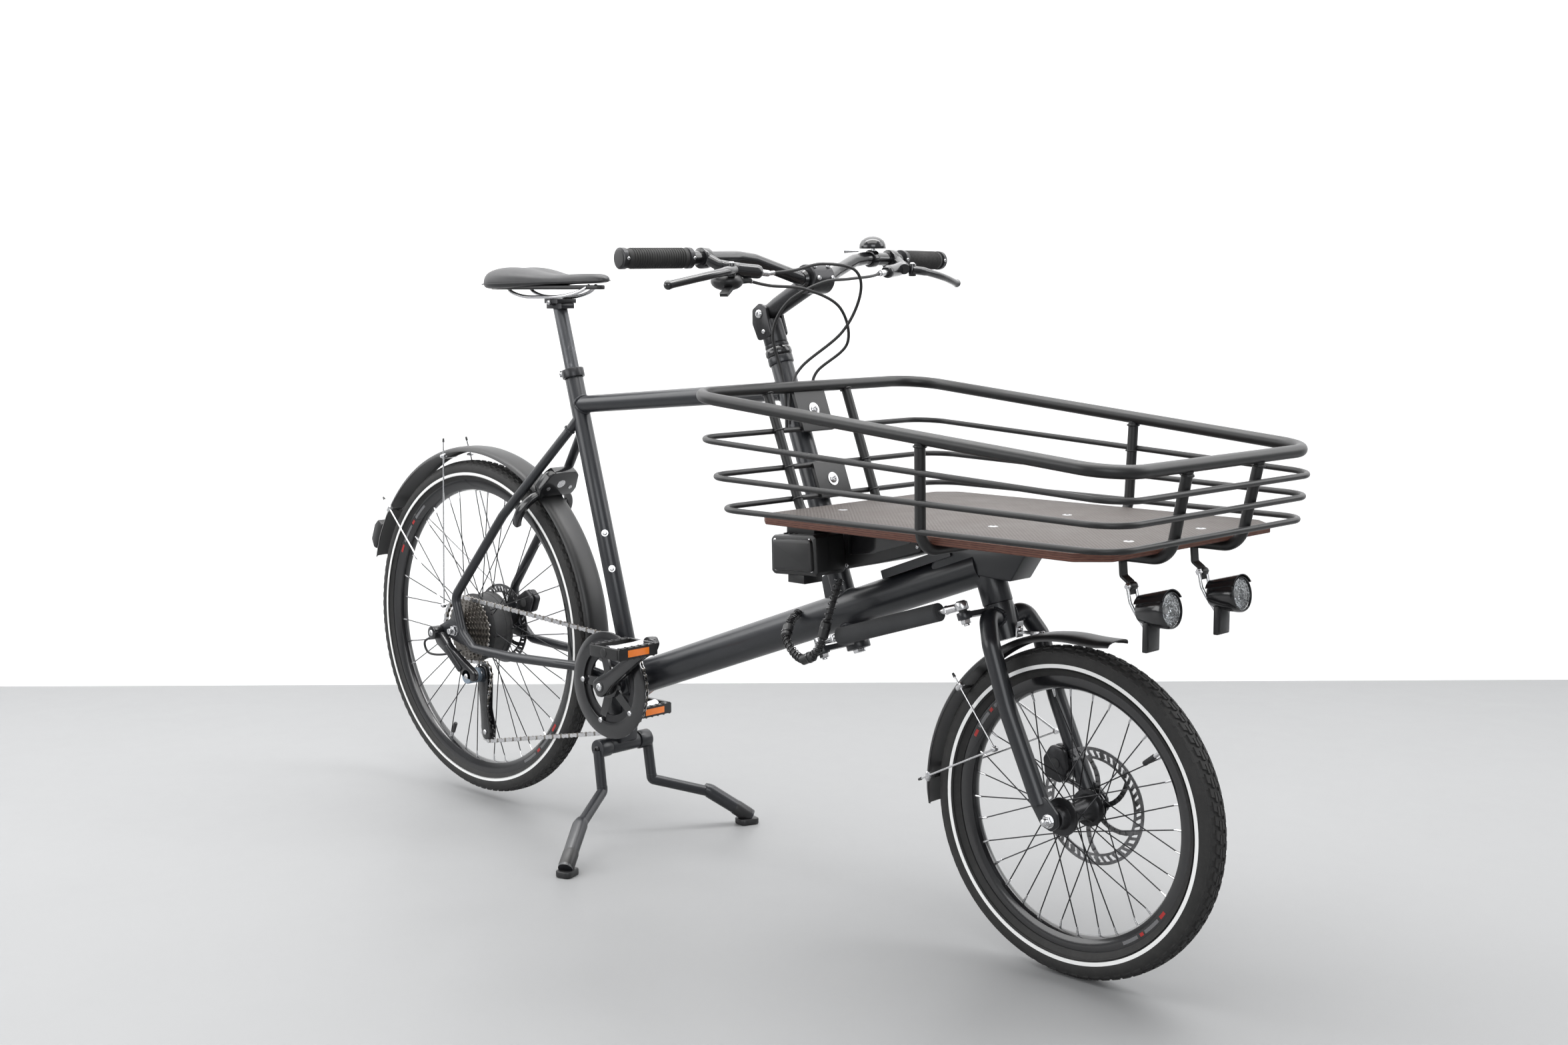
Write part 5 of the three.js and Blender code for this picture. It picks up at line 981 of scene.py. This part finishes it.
for name, pts, node, body in (
        ("front_caliper_body", [(1362, 284), (1392, 276), (1404, 300), (1396, 330), (1372, 334), (1358, 312)], "front_brake_caliper", "fork"),
        ("rear_caliper_body", [(62, 372), (96, 384), (108, 412), (88, 428), (58, 410)], "rear_brake_caliper", "frame")):
    p = Piece()
    lo, hi = (34, 60) if body == "fork" else (38, 62)
    m = (45 if body == "fork" else 46) + 1
    cx = sum(q[0] for q in pts) / len(pts); cz = sum(q[1] for q in pts) / len(pts)
    p.slab_y(pts, lo, m - 1.7, "alloy", 2.5, 8); p.slab_y(pts, m + 1.7, hi, "alloy", 2.5, 8)
    far = max(pts, key=lambda q: q[0] if body == "fork" else q[1])
    p.slab_y([((q[0] + far[0]) / 2, (q[1] + far[1]) / 2) for q in pts], m - 2, m + 2, "alloy", 0.5, 3)
    for q in (pts[0], pts[2]):
        p.bolt((cx + (q[0] - cx) * 0.6, hi, cz + (q[1] - cz) * 0.6), (0, 1, 0), 4, 3, "steel")
    p.rod((cx, lo - 0.2, cz), (cx, lo - 1.4, cz), 9, "matte", 24, soft=0.4)
    p.make(name, body, node, "black_alloy")

# ---------------------------------------------------------------------- fork
p = Piece()
p.rod(on_axis(FORK_P, -51), on_axis(FORK_P, 138), 12.5, n=32, soft=1)
p.tube([on_axis(FORK_P, 3.6), on_axis(FORK_P, -6), on_axis(FORK_P, -30), on_axis(FORK_P, -52)], [22.5, 23, 21.5, 20], n=40)
p.lathe([(14, 90.4), (22.6, 90.4), (23, 92), (22.6, 96.6), (14, 97)], FORK_P, STEER, "alloy", 40)
p.lathe([(13, 98), (16.5, 98), (17, 103), (13, 103.4)], FORK_P, STEER, "steel", 6)
for s in (-1, 1):
    p.tube(rounded([(1306, 8 * s, 524), (1311, 44 * s, 534), (1331, 61 * s, 496), (1363, 61 * s, 404), (1424, 59 * s, 270)], [18, 26, 200], 5), 14, n=28)
    lo, hi = (59, 66) if s > 0 else (-66, -59)
    p.slab_y([(1416, 292), (1440, 280), (1458, 262), (1460, 244), (1448, 234), (1430, 240), (1412, 266)], lo, hi, bevel=1.6, soften=6)
fa = V(1287.5, -72, 539.2)
p.bar(FORK_P - STEER * 5, fa - STEER * 3, 24, 8, "paint", up=STEER, bevel=1.6)
p.rod(fa + STEER * 2.4, fa - STEER * 9, 11, "paint", 28, soft=1.2); p.nut(fa - STEER * 9, -STEER, 8, 7, "steel"); p.rod(fa - STEER * 16, fa - STEER * 19, 4.4, "steel", 18, soft=0.6)
weld(p, (1302, -60, 532), (1308, -5, 527), 14, on_axis(FORK_P, -60), on_axis(FORK_P, 10), 22, seed=9)
weld(p, (1302, 60, 532), (1308, 5, 527), 14, on_axis(FORK_P, -60), on_axis(FORK_P, 10), 22, seed=10)
p.bolt((1327, 0, 512), (0.93, 0, -0.1), 6, 4, "steel")
p.make("fork_tubes", "fork", "fork", "frame_paint")

# ------------------------------------------------------------ steering column
p = Piece()
p.rod(on_axis(COLUMN_TOP, -484), on_axis(COLUMN_TOP, 40), 14.3, n=32, soft=1)
p.lathe([(14.5, 0.4), (21, 0.4), (22.4, 3), (22.4, 10), (20, 13.6), (14.5, 13.8)], COLUMN_TOP, STEER, "gloss", 48)
p.lathe([(14.5, 14.2), (19.6, 14.2), (20.4, 16), (19.8, 20.6), (14.5, 21)], COLUMN_TOP, STEER, "alloy", 48)
arm_c = V(1007.8, 0, 451.7)
rb = V(997.8, -72, 447.9); fb = V(1287.5, -72, 539.2)
fc = V(1297.5, 0, 543)
p.bar(arm_c - STEER * 2, rb - STEER * 2, 24, 8, "paint", up=STEER, bevel=1.6)
p.rod(arm_c - STEER * 14, arm_c + STEER * 6, 20, "paint", 36, soft=1.5)
p.rod(rb + STEER * 2.4, rb - STEER * 9, 11, "paint", 28, soft=1.2); p.nut(rb - STEER * 9, -STEER, 8, 7, "steel"); p.rod(rb - STEER * 16, rb - STEER * 19, 4.4, "steel", 18, soft=0.6); p.nut(arm_c - STEER * 14, -STEER, 11, 6, "steel")
p.make("column_tube_and_arm", "column", "steering_column", "frame_paint")

p = Piece()
L1, L2 = rb + STEER * 11, fb + STEER * 11
d = (L2 - L1).normalized()
p.tube([L1, L2], 5, "steel", 20)
p.tube([L1 + d * 44, L1 + d * 46, L2 - d * 46, L2 - d * 44], [12, 14.2, 14.2, 12], "foam", 32)
for q, s in ((L1, 1), (L2, -1)):
    p.tube([q + d * s * 10, q + d * s * 28], [6, 6.4], "steel", 20); p.nut(q + d * s * 28, d * s, 7, 5, "steel")
    p.rod(q - STEER * 6, q + STEER * 7, 10, "steel", 28, soft=2); p.rod(q + STEER * 6, q + STEER * 8.6, 7, "matte", 20, soft=0.8)
    p.rod(q - STEER * 10, q - STEER * 5, 6.5, "matte", 20, soft=1)
p.make("tie_rod_and_joints", "tie", "tie_rod", "bright_steel")

# --------------------------------------------------------------- stem and bars
STEM_P = V(807, 0, 979)
p = Piece()
p.rod(on_axis(COLUMN_TOP, 21), on_axis(COLUMN_TOP, 62), 19.5, "alloy", 40, soft=2)
for s in (-1, 1):
    lo, hi = (13.5, 20.5) if s > 0 else (-20.5, -13.5)
    p.slab_y([(804, 934), (836, 944), (826, 974), (822, 990), (806, 997), (790, 986), (790, 962)], lo, hi, "alloy", 1.6, 6)
    p.bolt((807, s * 20.5, 979), (0, s, 0), 7.5, 4, "steel"); p.bolt((818, s * 20.5, 950), (0, s, 0), 4, 3, "steel")
p.make("stem_base_ears", "column", "stem_base", "black_alloy")
p = Piece()
p.rod((807, -12.6, 979), (807, 12.6, 979), 15, "alloy", 36, soft=1)
p.tube([(812, 0, 981), (835, 0, 993), (880, 0, 1016.5), (900, 0, 1027)], [14, 16, 16.5, 17], "alloy", 36)
p.lathe([(15.5, -24), (22.6, -24), (24, -22), (24, 22), (22.6, 24), (15.5, 24)], (915, 0, 1036), Y, "alloy", 48)
for y in (-16, 16):
    for z in (-14, 14):
        n_ = V(0.87, 0, 0.49); t_ = V(-0.49, 0, 0.87)
        p.bolt(V(915, y, 1036) + n_ * 22.5 + t_ * z * 0.75, n_, 4, 3.4, "steel")
p.make("stem_arm_body", "bars", "stem_arm", "black_alloy")
half = [(915, 30, 1036), (905, 60, 1047), (893, 118, 1066), (888, 150, 1070), (884, 244, 1069), (867, 370, 1068)]
full = [(x, -y, z) for x, y, z in half[::-1]] + half
p = Piece()
p.tube(rounded(full, [60, 40, 30, 60, 30, 30, 60, 40, 30, 60], 5), 11.1, "gloss", 28)
p.tube([(915, -33, 1036), (915, -29, 1036), (915, 29, 1036), (915, 33, 1036)], [12, 15.4, 15.4, 12], "gloss", 32)
p.make("handlebar_tube", "bars", "handlebar", "black_alloy")
for s, tag in ((-1, "right"), (1, "left")):
    p = Piece()
    a, b = V(883.7, s * 246, 1069), V(867, s * 370, 1068)
    dd = (b - a).normalized()
    p.tube([a + dd * 8, a + dd * 10, a + dd * 60, b - dd * 8, b - dd * 6], [13.5, 14.8, 15.4, 14.8, 13.5], "rubber", 36)
    for k in range(22):      # raised ribs round the grip
        q = a + dd * (16 + 4.4 * k)
        p.tube([q, q + dd * 0.8, q + dd * 2.0, q + dd * 2.8], [14.9, 16.1, 16.1, 14.9], "rubber", 30)
    for q in (a, b - dd * 4):
        p.tube([q, q + dd * 1, q + dd * 8.5, q + dd * 9.5], [14.8, 16.4, 16.4, 14.8], "alloy", 36)
        p.bolt(q + dd * 4.5 + V(15.8, 0, 0), X, 2.8, 1.0, "steel")
    p.tube([b + dd * 5, b + dd * 6.4, b + dd * 7], [13, 13, 11], "matte", 32)
    p.make("grip_" + tag + "_sleeve", "bars", "grip_" + tag, "grip_rubber")
    p = Piece()
    p.rod((885.5, s * 212, 1069), (885.5, s * 228, 1069), 16.6, "gloss", 32, soft=1.6)
    p.tube([(900, s * 221, 1066), (915, s * 216, 1058), (938, s * 196, 1052)], [9, 9, 9], "gloss", 20)
    p.tube(spline([(917, s * 216, 1055), (926, s * 190, 1051), (936, s * 158, 1048), (939, s * 148, 1047)], 4), [11.5] * 5 + [11] * 5 + [10.4, 10, 8], "gloss", 28)
    p.tube([(937, s * 152, 1047), (940, s * 132, 1045)], [5.6, 5.0], "steel", 18)
    p.rod((941, s * 213, 1040), (941, s * 213, 1061), 6.5, "gloss", 20, soft=1); p.bolt((941, s * 213, 1061), Z, 4.4, 2.4, "steel")
    p.make("brake_perch_" + tag + "_body", "bars", "brake_perch_" + tag, "black_alloy")
    p = Piece()
    p.tube(spline([(941, s * 210, 1051), (950, s * 240, 1047), (947, s * 290, 1038), (935, s * 338, 1028)], 8), [7.2] * 8 + [6.4] * 8 + [6.2] * 8 + [6.8], "gloss", 20, squash=1.25)
    p.ball((935, s * 339, 1028), 7.4, "gloss", 12)
    p.make("brake_lever_" + tag + "_blade", "lever_" + tag, "brake_lever_" + tag, "black_alloy")
p = Piece()
p.ball((919, -202, 1033), 26.5, "plastic", 20, (1, 25 / 27, 15 / 27))
p.lathe([(0, 0), (11, 0), (11, 1.6), (9, 2.6), (0, 2.6)], (924, -204, 1044.5), Z, "gloss", 32, closed=False)
p.tube([(900, -200, 1046), (892, -200, 1060)], 6, "plastic", 16); p.tube([(930, -178, 1034), (936, -166, 1034)], [5, 3.6], "matte", 16)
p.make("shifter_pod", "bars", "shifter", "black_plastic")
p = Piece()
p.bar((930, -204, 1026), (948, -238, 1012), 13, 6, "plastic", bevel=2)
p.make("shift_paddle", "shift", "shift_lever", "black_plastic")
p = Piece()
p.rod((887, 163, 1070), (887, 177, 1070), 14.6, "gloss", 28, soft=1)
p.rod((889, 170, 1082), (889, 170, 1090), 5, "steel", 16)
p.lathe([(22.6, 0), (23, 1), (22.4, 7), (19.5, 13), (13, 18), (6, 20.4), (0, 20.8), (0, 19.4), (12, 16.6), (18.3, 12), (21.2, 6), (21.4, 0)], (889, 170, 1087), Z, "gloss", 48, closed=False)
p.bolt((889, 170, 1107.6), Z, 3.2, 1.6, "steel")
p.make("bell_dome", "bars", "bell", "black_alloy")
Piece().tube([(872, 154, 1083), (866, 148, 1083), (852, 140, 1083)], [2, 2.4, 3.8], "steel", 14).make("bell_striker", "striker", "bell_lever", "bright_steel")

# --------------------------------------------------------------- cables, wires
CA = [(941, -131, 1045), (956, -90, 1050), (970, -40, 1060), (985, 20, 1050), (978, 40, 1010), (944, 34, 950), (886, 0, 894), (884, -24, 856), (886, -30, 800)]
CB = [(941, 131, 1045), (955, 90, 1040), (962, 30, 1036), (958, -30, 1030), (926, -74, 1000), (884, -66, 950), (878, -42, 890), (884, -38, 850), (887, -38, 790)]
CC = [(932, -171, 1034), (942, -130, 1026), (952, -60, 1020), (952, 20, 990), (926, 66, 930), (884, 38, 884), (884, 26, 850), (887, 24, 800)]
p = Piece()
for pts, r in ((CA, 2.5), (CB, 2.5), (CC, 2.5)):
    s = spline(pts, 10)
    p.tube(s, r, "matte", 12)
    p.tube(s[:3], r + 1.1, "steel", 14)
p.tube([(884, -40, 866), (884, 32, 866)], 3.0, "matte", 12)
p.make("control_hoses", "bars", "control_cables", "black_plastic")
p = Piece()
H = spline([(900, -26, 488), (914, -58, 478), (936, -90, 456), (976, -99, 432), (1012, -98, 450), (1026, -90, 500), (1026, -62, 560)], 14)
for k in range(4):
    off = [Quaternion(X, 0.9 * k + i * 0.05) @ V(0, 3.6, 0) for i in range(len(H))]
    p.tube([q + o for q, o in zip(H, off)], 2.8, "matte", 10)
coil = []
for i in range(len(H) * 5):
    t = i / 5; a = int(t); b = min(a + 1, len(H) - 1)
    q = H[a].lerp(H[b], t - a); tn = (H[min(b + 1, len(H) - 1)] - H[max(a - 1, 0)]).normalized()
    e1 = (Y - tn * tn.y).normalized(); e2 = tn.cross(e1); th = i * 0.62
    coil.append(q + e1 * math.cos(th) * 7.0 + e2 * math.sin(th) * 7.0)
p.tube(coil, 0.9, "gloss", 6)
for k in (22, 48, 66):
    q = H[k]; tn = (H[k + 1] - H[k - 1]).normalized()
    p.tube([q - tn * 14, q - tn * 12, q + tn * 12, q + tn * 14], [6, 8.6, 8.6, 6], "plastic", 24)
    p.tube([q + tn * 2, q + tn * 5], 9.4, "gloss", 24)
p.make("wiring_bundle", "frame", "wiring_harness", "black_plastic")

# --------------------------------------------------------------------- basket
LOOPS = [(896, 272, 62, 1680, 252, 62, 861, 788), (915, 278, 50, 1686, 252, 50, 794, 752), (937, 276, 50, 1681, 251, 50, 737, 720), (955, 271, 50, 1674, 250, 50, 688, 686)]


def loop(l):
    xr, wr, rr, xf, wf, rf, zr, zf = l
    zz = lambda x: zr + (zf - zr) * (x - xr) / (xf - xr)
    h = rounded([(xr, 0, 0), (xr, -wr, 0), (xf, -wf, 0), (xf, 0, 0)], [rr, rf], 5)
    pts = [V(q.x, q.y, zz(q.x)) for q in h]
    return pts + [V(q.x, -q.y, q.z) for q in pts[::-1]][1:-1]


b = Piece()
for i, l in enumerate(LOOPS):
    b.tube(loop(l), 9.5 if i == 0 else 4.5, "tube", 28 if i == 0 else 16, closed=True)
long_ = {}
for s in (-1, 1):
    lt = rounded([(895.5, 93 * s, 860), (975, 91 * s, 658), (1655, 89 * s, 658), (1681, 91 * s, 782)], 34, 5)
    b.tube(lt, 8, "tube", 24)
    ring_weld(b, (898, 93 * s, 853), V(-0.37, 0, 0.93), 8.4, 1.8, "tube", 3); ring_weld(b, (1679.5, 91 * s, 776), V(.2, 0, .97), 8.4, 1.8, "tube", 4)
    # front posts where the floor tubes turn up, tied to the rails by bead welds
    for zq, xq in ((794, 921), (737, 944), (688, 963)):
        ring_weld(b, (xq, 92 * s, zq + 1), V(-0.37, 0, 0.93), 8.3, 1.3, "tube", 5)
st = rounded([(1359, 260, 812), (1356, 254, 658), (1356, -254, 658), (1359, -260, 812)], 34, 5)
b.tube(st, 8, "tube", 24)
for s in (-1, 1):
    ring_weld(b, (1359, s * 259.6, 806), Z, 8.4, 1.7, "tube", 6)
    for zq in (766, 728, 687):
        ring_weld(b, (1358, s * (258 - (806 - zq) * 0.04), zq), Z, 8.2, 1.2, "tube", 7)
n1 = V(0.9351, 0, 0.3543)
for k0, k1 in ((70, 143), (196, 256)):
    c0, c1 = on_axis(COLUMN_TOP, -k0) + n1 * 40, on_axis(COLUMN_TOP, -k1) + n1 * 40
    b.prism(round2d([(-36, 0), (36, 0), (36, k1 - k0), (-36, k1 - k0)], 8), c0 - n1 * 3, Y, -STEER, 6, "tube", 1.2) if False else \
        b.bar(c0, c1, 72, 6, "tube", up=n1, bevel=1.5)
    m = (c0 + c1) / 2
    b.bolt(m + n1 * 2.8, n1, 7.5, 4.4, "steel"); b.lathe([(7, 0), (11, 0), (11, 1.3), (7, 1.3)], m + n1 * 2.8, n1, "steel", 28)
for s in (-1, 1):
    zz = [(1580, 90 * s, 653), (1582, 90 * s, 630), (1594, 90 * s, 622), (1595, 90 * s, 606)]
    q = rounded(zz, [5, 5], 12)
    for i in range(len(q) - 1):
        b.bar(q[i], q[i + 1] + (q[i + 1] - q[i]).normalized() * 0.8, 16, 3.5, "tube", up=V(1, 0, 0.4), bevel=0.5)
    b.rod((1595, 82.5 * s, 617), (1595, 97.5 * s, 617), 6, "tube", 20, soft=0.6)
    b.bolt((1595, 97.5 * s, 617), (0, s, 0), 5, 3, "steel"); b.nut((1595, 82.5 * s, 617), (0, -s, 0), 5.5, 4, "steel")
for x in (1206, 1378):
    for s in (-1, 1):
        b.bar((x - 12, s * 62, 653), (x + 12, s * 62, 653), 60, 7, "tube", bevel=1.2)
b.make("basket_tubes", "frame", "basket_frame", "basket_paint")
p = Piece()
DK = [(1000, 205), (1030, 232), (1600, 236), (1640, 200), (1640, -200), (1600, -236), (1030, -232), (1000, -205)]
p.slab_z(DK, 666.4, 677.8, "ply", 0.6, 12)
o = len(p.v)
top = round2d(DK, 12)
p.slab_z([(1320 + (x - 1320) * 0.9975, y * 0.995) for x, y in top], 677.2, 678.4, "deck", 0.4)
for x in (1060, 1356, 1590):
    for y in (-91, 91):
        p.lathe([(0, 0.9), (5, 0.9), (7.6, 0.1), (7.6, -0.6), (0, -0.6)], (x, y, 678.4), Z, "steel", 28, closed=False)
        p.lathe([(0, 1.1), (2.4, 1.1), (2.4, 0.7), (0, 0.7)], (x, y, 678.4), Z, "matte", 6, closed=False)
p.make("basket_deck", "frame", "basket_board", "plywood")

# ------------------------------------------------------------- under the deck
p = Piece()
p.slab_y([(1016, 574), (1085, 590), (1180, 618), (1180, 664), (1016, 664)], -44, 44, "plastic", 4, 8)
p.slab_y([(1030, 600), (1080, 606), (1160, 630), (1160, 654), (1030, 654)], -45.2, -43, "gloss", 0.8, 6)
for x, z in ((1026, 582), (1172, 626), (1172, 656), (1026, 656)):
    p.bolt((x, -44, z), (0, -1, 0), 3.4, 1.6, "steel")
p.make("battery_shell", "frame", "battery_case", "black_plastic")
p = Piece()
box = [(928, 572), (934, 567), (1026, 572), (1031, 578), (1027, 634), (1020, 638), (932, 630), (927, 624)]
p.slab_y(box, -118, -50, "plastic", 5, 4)
p.slab_y([(979 + (x - 979) * 0.86, 602 + (z - 602) * 0.8) for x, z in box], -123.6, -112, "plastic", 5, 6)
p.slab_y(box, -90.6, -89, "matte", 0)
for k in range(7):
    p.bar((946 + 11 * k, -106, 629.5 + 0.5 * k), (946 + 11 * k, -62, 629.5 + 0.5 * k), 3, 8, "plastic", up=(0, 0, 1), bevel=1)
p.bar((970, -104, 562), (970, -60, 562), 36, 16, "plastic", bevel=2)
p.bar((976, -100, 647), (976, -44.6, 647), 62, 29, "plastic", bevel=3)
p.bar((979, -60, 602), (979, -44.8, 602), 60, 40, "matte", bevel=2)
for x, z in ((940, 577), (1018, 581), (1014, 628), (938, 622)):
    p.bolt((x, -118, z), (0, -1, 0), 3.6, 1.8, "steel")
p.make("controller_shell_body", "frame", "controller_box", "controller_shell")

# ---------------------------------------------------------------------- lamps
for s, tag, body in ((-1, "right", "light_r"), (1, "left", "light_l")):
    y = 90 * s
    p = Piece()
    for yy in (y - 10, y + 10):
        p.tube(rounded([(1595, yy, 617), (1600, yy, 596), (1606, y + (yy - y) * 0.8, 584), (1626, y + (yy - y) * 0.8, 560)], 8, 9), 2.4, "steel", 14)
    p.rod((1595, y - 13, 617), (1595, y + 13, 617), 3, "steel", 16)
    ax = V(46, 0, 7).normalized()
    c = V(1609, y, 583.6)
    p.lathe([(0, 0), (10, 0.4), (16, 3), (19, 9), (24, 30), (26, 44), (26, 50), (24.6, 52.6), (23.6, 52.6), (23.6, 49)], c, ax, "gloss", 56, closed=False)
    p.lathe([(23.6, 49), (20, 38), (13, 27), (5, 21.5), (0, 21)], c, ax, "chrome", 56, closed=False)
    p.ball(c + ax * 27, 4.4, "reflect", 12)
    p.lathe([(23.5, 48.6), (16, 50.6), (0, 52), (0, 50.4), (16, 49), (23.5, 47)], c, ax, "clear", 56, closed=False)
    up_ = ax.cross(Y); up_ = up_ if up_.z > 0 else -up_
    hood = []
    for k in range(13):
        a = math.radians(-58 + 116 * k / 12); hood.append((a))
    verts, faces = [], []
    for h, r in ((4, 22.5), (54, 28.6)):
        for a in hood: verts.append(c + ax * h + (up_ * math.cos(a) + Y * math.sin(a)) * r)
    for h, r in ((4, 20.8), (54, 27)):
        for a in hood: verts.append(c + ax * h + (up_ * math.cos(a) + Y * math.sin(a)) * r)
    n = len(hood)
    for k in range(n - 1):
        faces += [[k, k + 1, n + k + 1, n + k], [2 * n + k, 3 * n + k, 3 * n + k + 1, 2 * n + k + 1], [k, 2 * n + k, 2 * n + k + 1, k + 1], [n + k, n + k + 1, 3 * n + k + 1, 3 * n + k]]
    faces += [[0, n, 3 * n, 2 * n], [n - 1, 3 * n - 1, 4 * n - 1, 2 * n - 1]]
    p.add(verts, faces, "gloss")
    p.slab_y([(1624, 530), (1632, 530), (1632, 572), (1624, 572)], y - 16, y + 16, "plastic", 1.4, 1.5)
    p.slab_y([(1630.8, 534), (1633.6, 534), (1633.6, 568), (1630.8, 568)], y - 13, y + 13, "clear", 0.4, 0.6)
    p.slab_y([(1630.2, 535), (1631.6, 535), (1631.6, 567), (1630.2, 567)], y - 12.4, y + 12.4, "chrome", 0)
    p.bar((1618, y, 572), (1630, y, 566), 16, 6, "plastic", bevel=1)
    p.make("lamp_" + tag + "_body", body, "lamp_" + tag, "lamp_housing")

# ------------------------------------------------------------ the photo's view
me = bpy.data.meshes.new("pale_floor")
me.from_pydata([(-30, -30, 0), (30, -30, 0), (30, 30, 0), (-30, 30, 0)], [], [[0, 1, 2, 3]])
floor = bpy.data.objects.new("pale_floor", me); bpy.context.scene.collection.objects.link(floor)
m, nt, bs = _tree("floor_matte")
n_ = _noise(nt, 3, 6, 0.6)
nt.links.new(_mix(nt, n_, (0.205, 0.207, 0.21), (0.24, 0.242, 0.245)), bs.inputs["Base Color"]); nt.links.new(_range(nt, n_, 0.3, 0.7, 0.42, 0.55), bs.inputs["Roughness"])
me.materials.append(m)
me = bpy.data.meshes.new("white_wall")
wc, wr = V(-0.979, 1.183, 0), V(0.7155, 0.6986, 0) * 22
me.from_pydata([tuple(wc - wr - Z * 0.1), tuple(wc + wr - Z * 0.1), tuple(wc + wr + Z * 14), tuple(wc - wr + Z * 14)], [], [[0, 1, 2, 3]])
wall = bpy.data.objects.new("white_wall", me); bpy.context.scene.collection.objects.link(wall)
m, nt, bs = _tree("wall_matte")
n_ = _noise(nt, 2, 4, 0.5)
nt.links.new(_mix(nt, n_, (0.90, 0.90, 0.905), (0.93, 0.93, 0.93)), bs.inputs["Base Color"]); nt.links.new(_range(nt, n_, 0.3, 0.7, 0.85, 0.92), bs.inputs["Roughness"])
me.materials.append(m)

cam = bpy.data.cameras.new("view"); cam.lens = 43.41; cam.sensor_width = 36
co = bpy.data.objects.new("view", cam); bpy.context.scene.collection.objects.link(co)
right, down, fwd = V(0.71587711, 0.69821318, -0.00428085), V(0.08580469, -0.0940567, -0.99186234), V(-0.69293399, 0.70968422, -0.127243)
R = Matrix((right, -down, -fwd)).transposed().to_4x4()
co.matrix_world = Matrix.Translation(((3041.002 - OX) / 1000, -2.251392, 1.034730)) @ R
bpy.context.scene.camera = co


def area(name, loc, target, size, power, color=(1, 1, 1)):
    l = bpy.data.lights.new(name, "AREA"); l.shape = "RECTANGLE"; l.size, l.size_y = size; l.energy = power; l.color = color
    o = bpy.data.objects.new(name, l); bpy.context.scene.collection.objects.link(o)
    o.location = loc; o.rotation_euler = (Vector(target) - Vector(loc)).to_track_quat("-Z", "Y").to_euler()


area("key_above", (0.6, -0.6, 4.2), (0.1, 0, 0.5), (4.5, 3.5), 150, (1, 0.99, 0.97))
area("fill_front", (4.2, -3.4, 2.2), (0, 0, 0.6), (3, 2.4), 75, (0.96, 0.98, 1))
area("rim_left", (-2.6, -1.6, 2.6), (0, 0, 0.6), (2.0, 2.4), 45)
area("rim_right", (2.6, 2.6, 2.6), (0.3, 0, 0.6), (2.0, 2.4), 50)
area("side_right", (-1.4, -3.6, 1.5), (0, 0, 0.5), (2.6, 1.8), 45)
area("wall_wash", (-0.2, 0.4, 4.4), (-1.2, 1.4, 1.2), (7, 1.4), 210)
w = bpy.data.worlds.get("World") or bpy.data.worlds.new("World")
bpy.context.scene.world = w
w.use_nodes = True
w.node_tree.nodes["Background"].inputs[0].default_value = (0.86, 0.88, 0.9, 1)
w.node_tree.nodes["Background"].inputs[1].default_value = 0.55
try:
    bpy.context.scene.view_settings.view_transform = "Standard"
    bpy.context.scene.view_settings.exposure = 0.1
except TypeError:
    pass
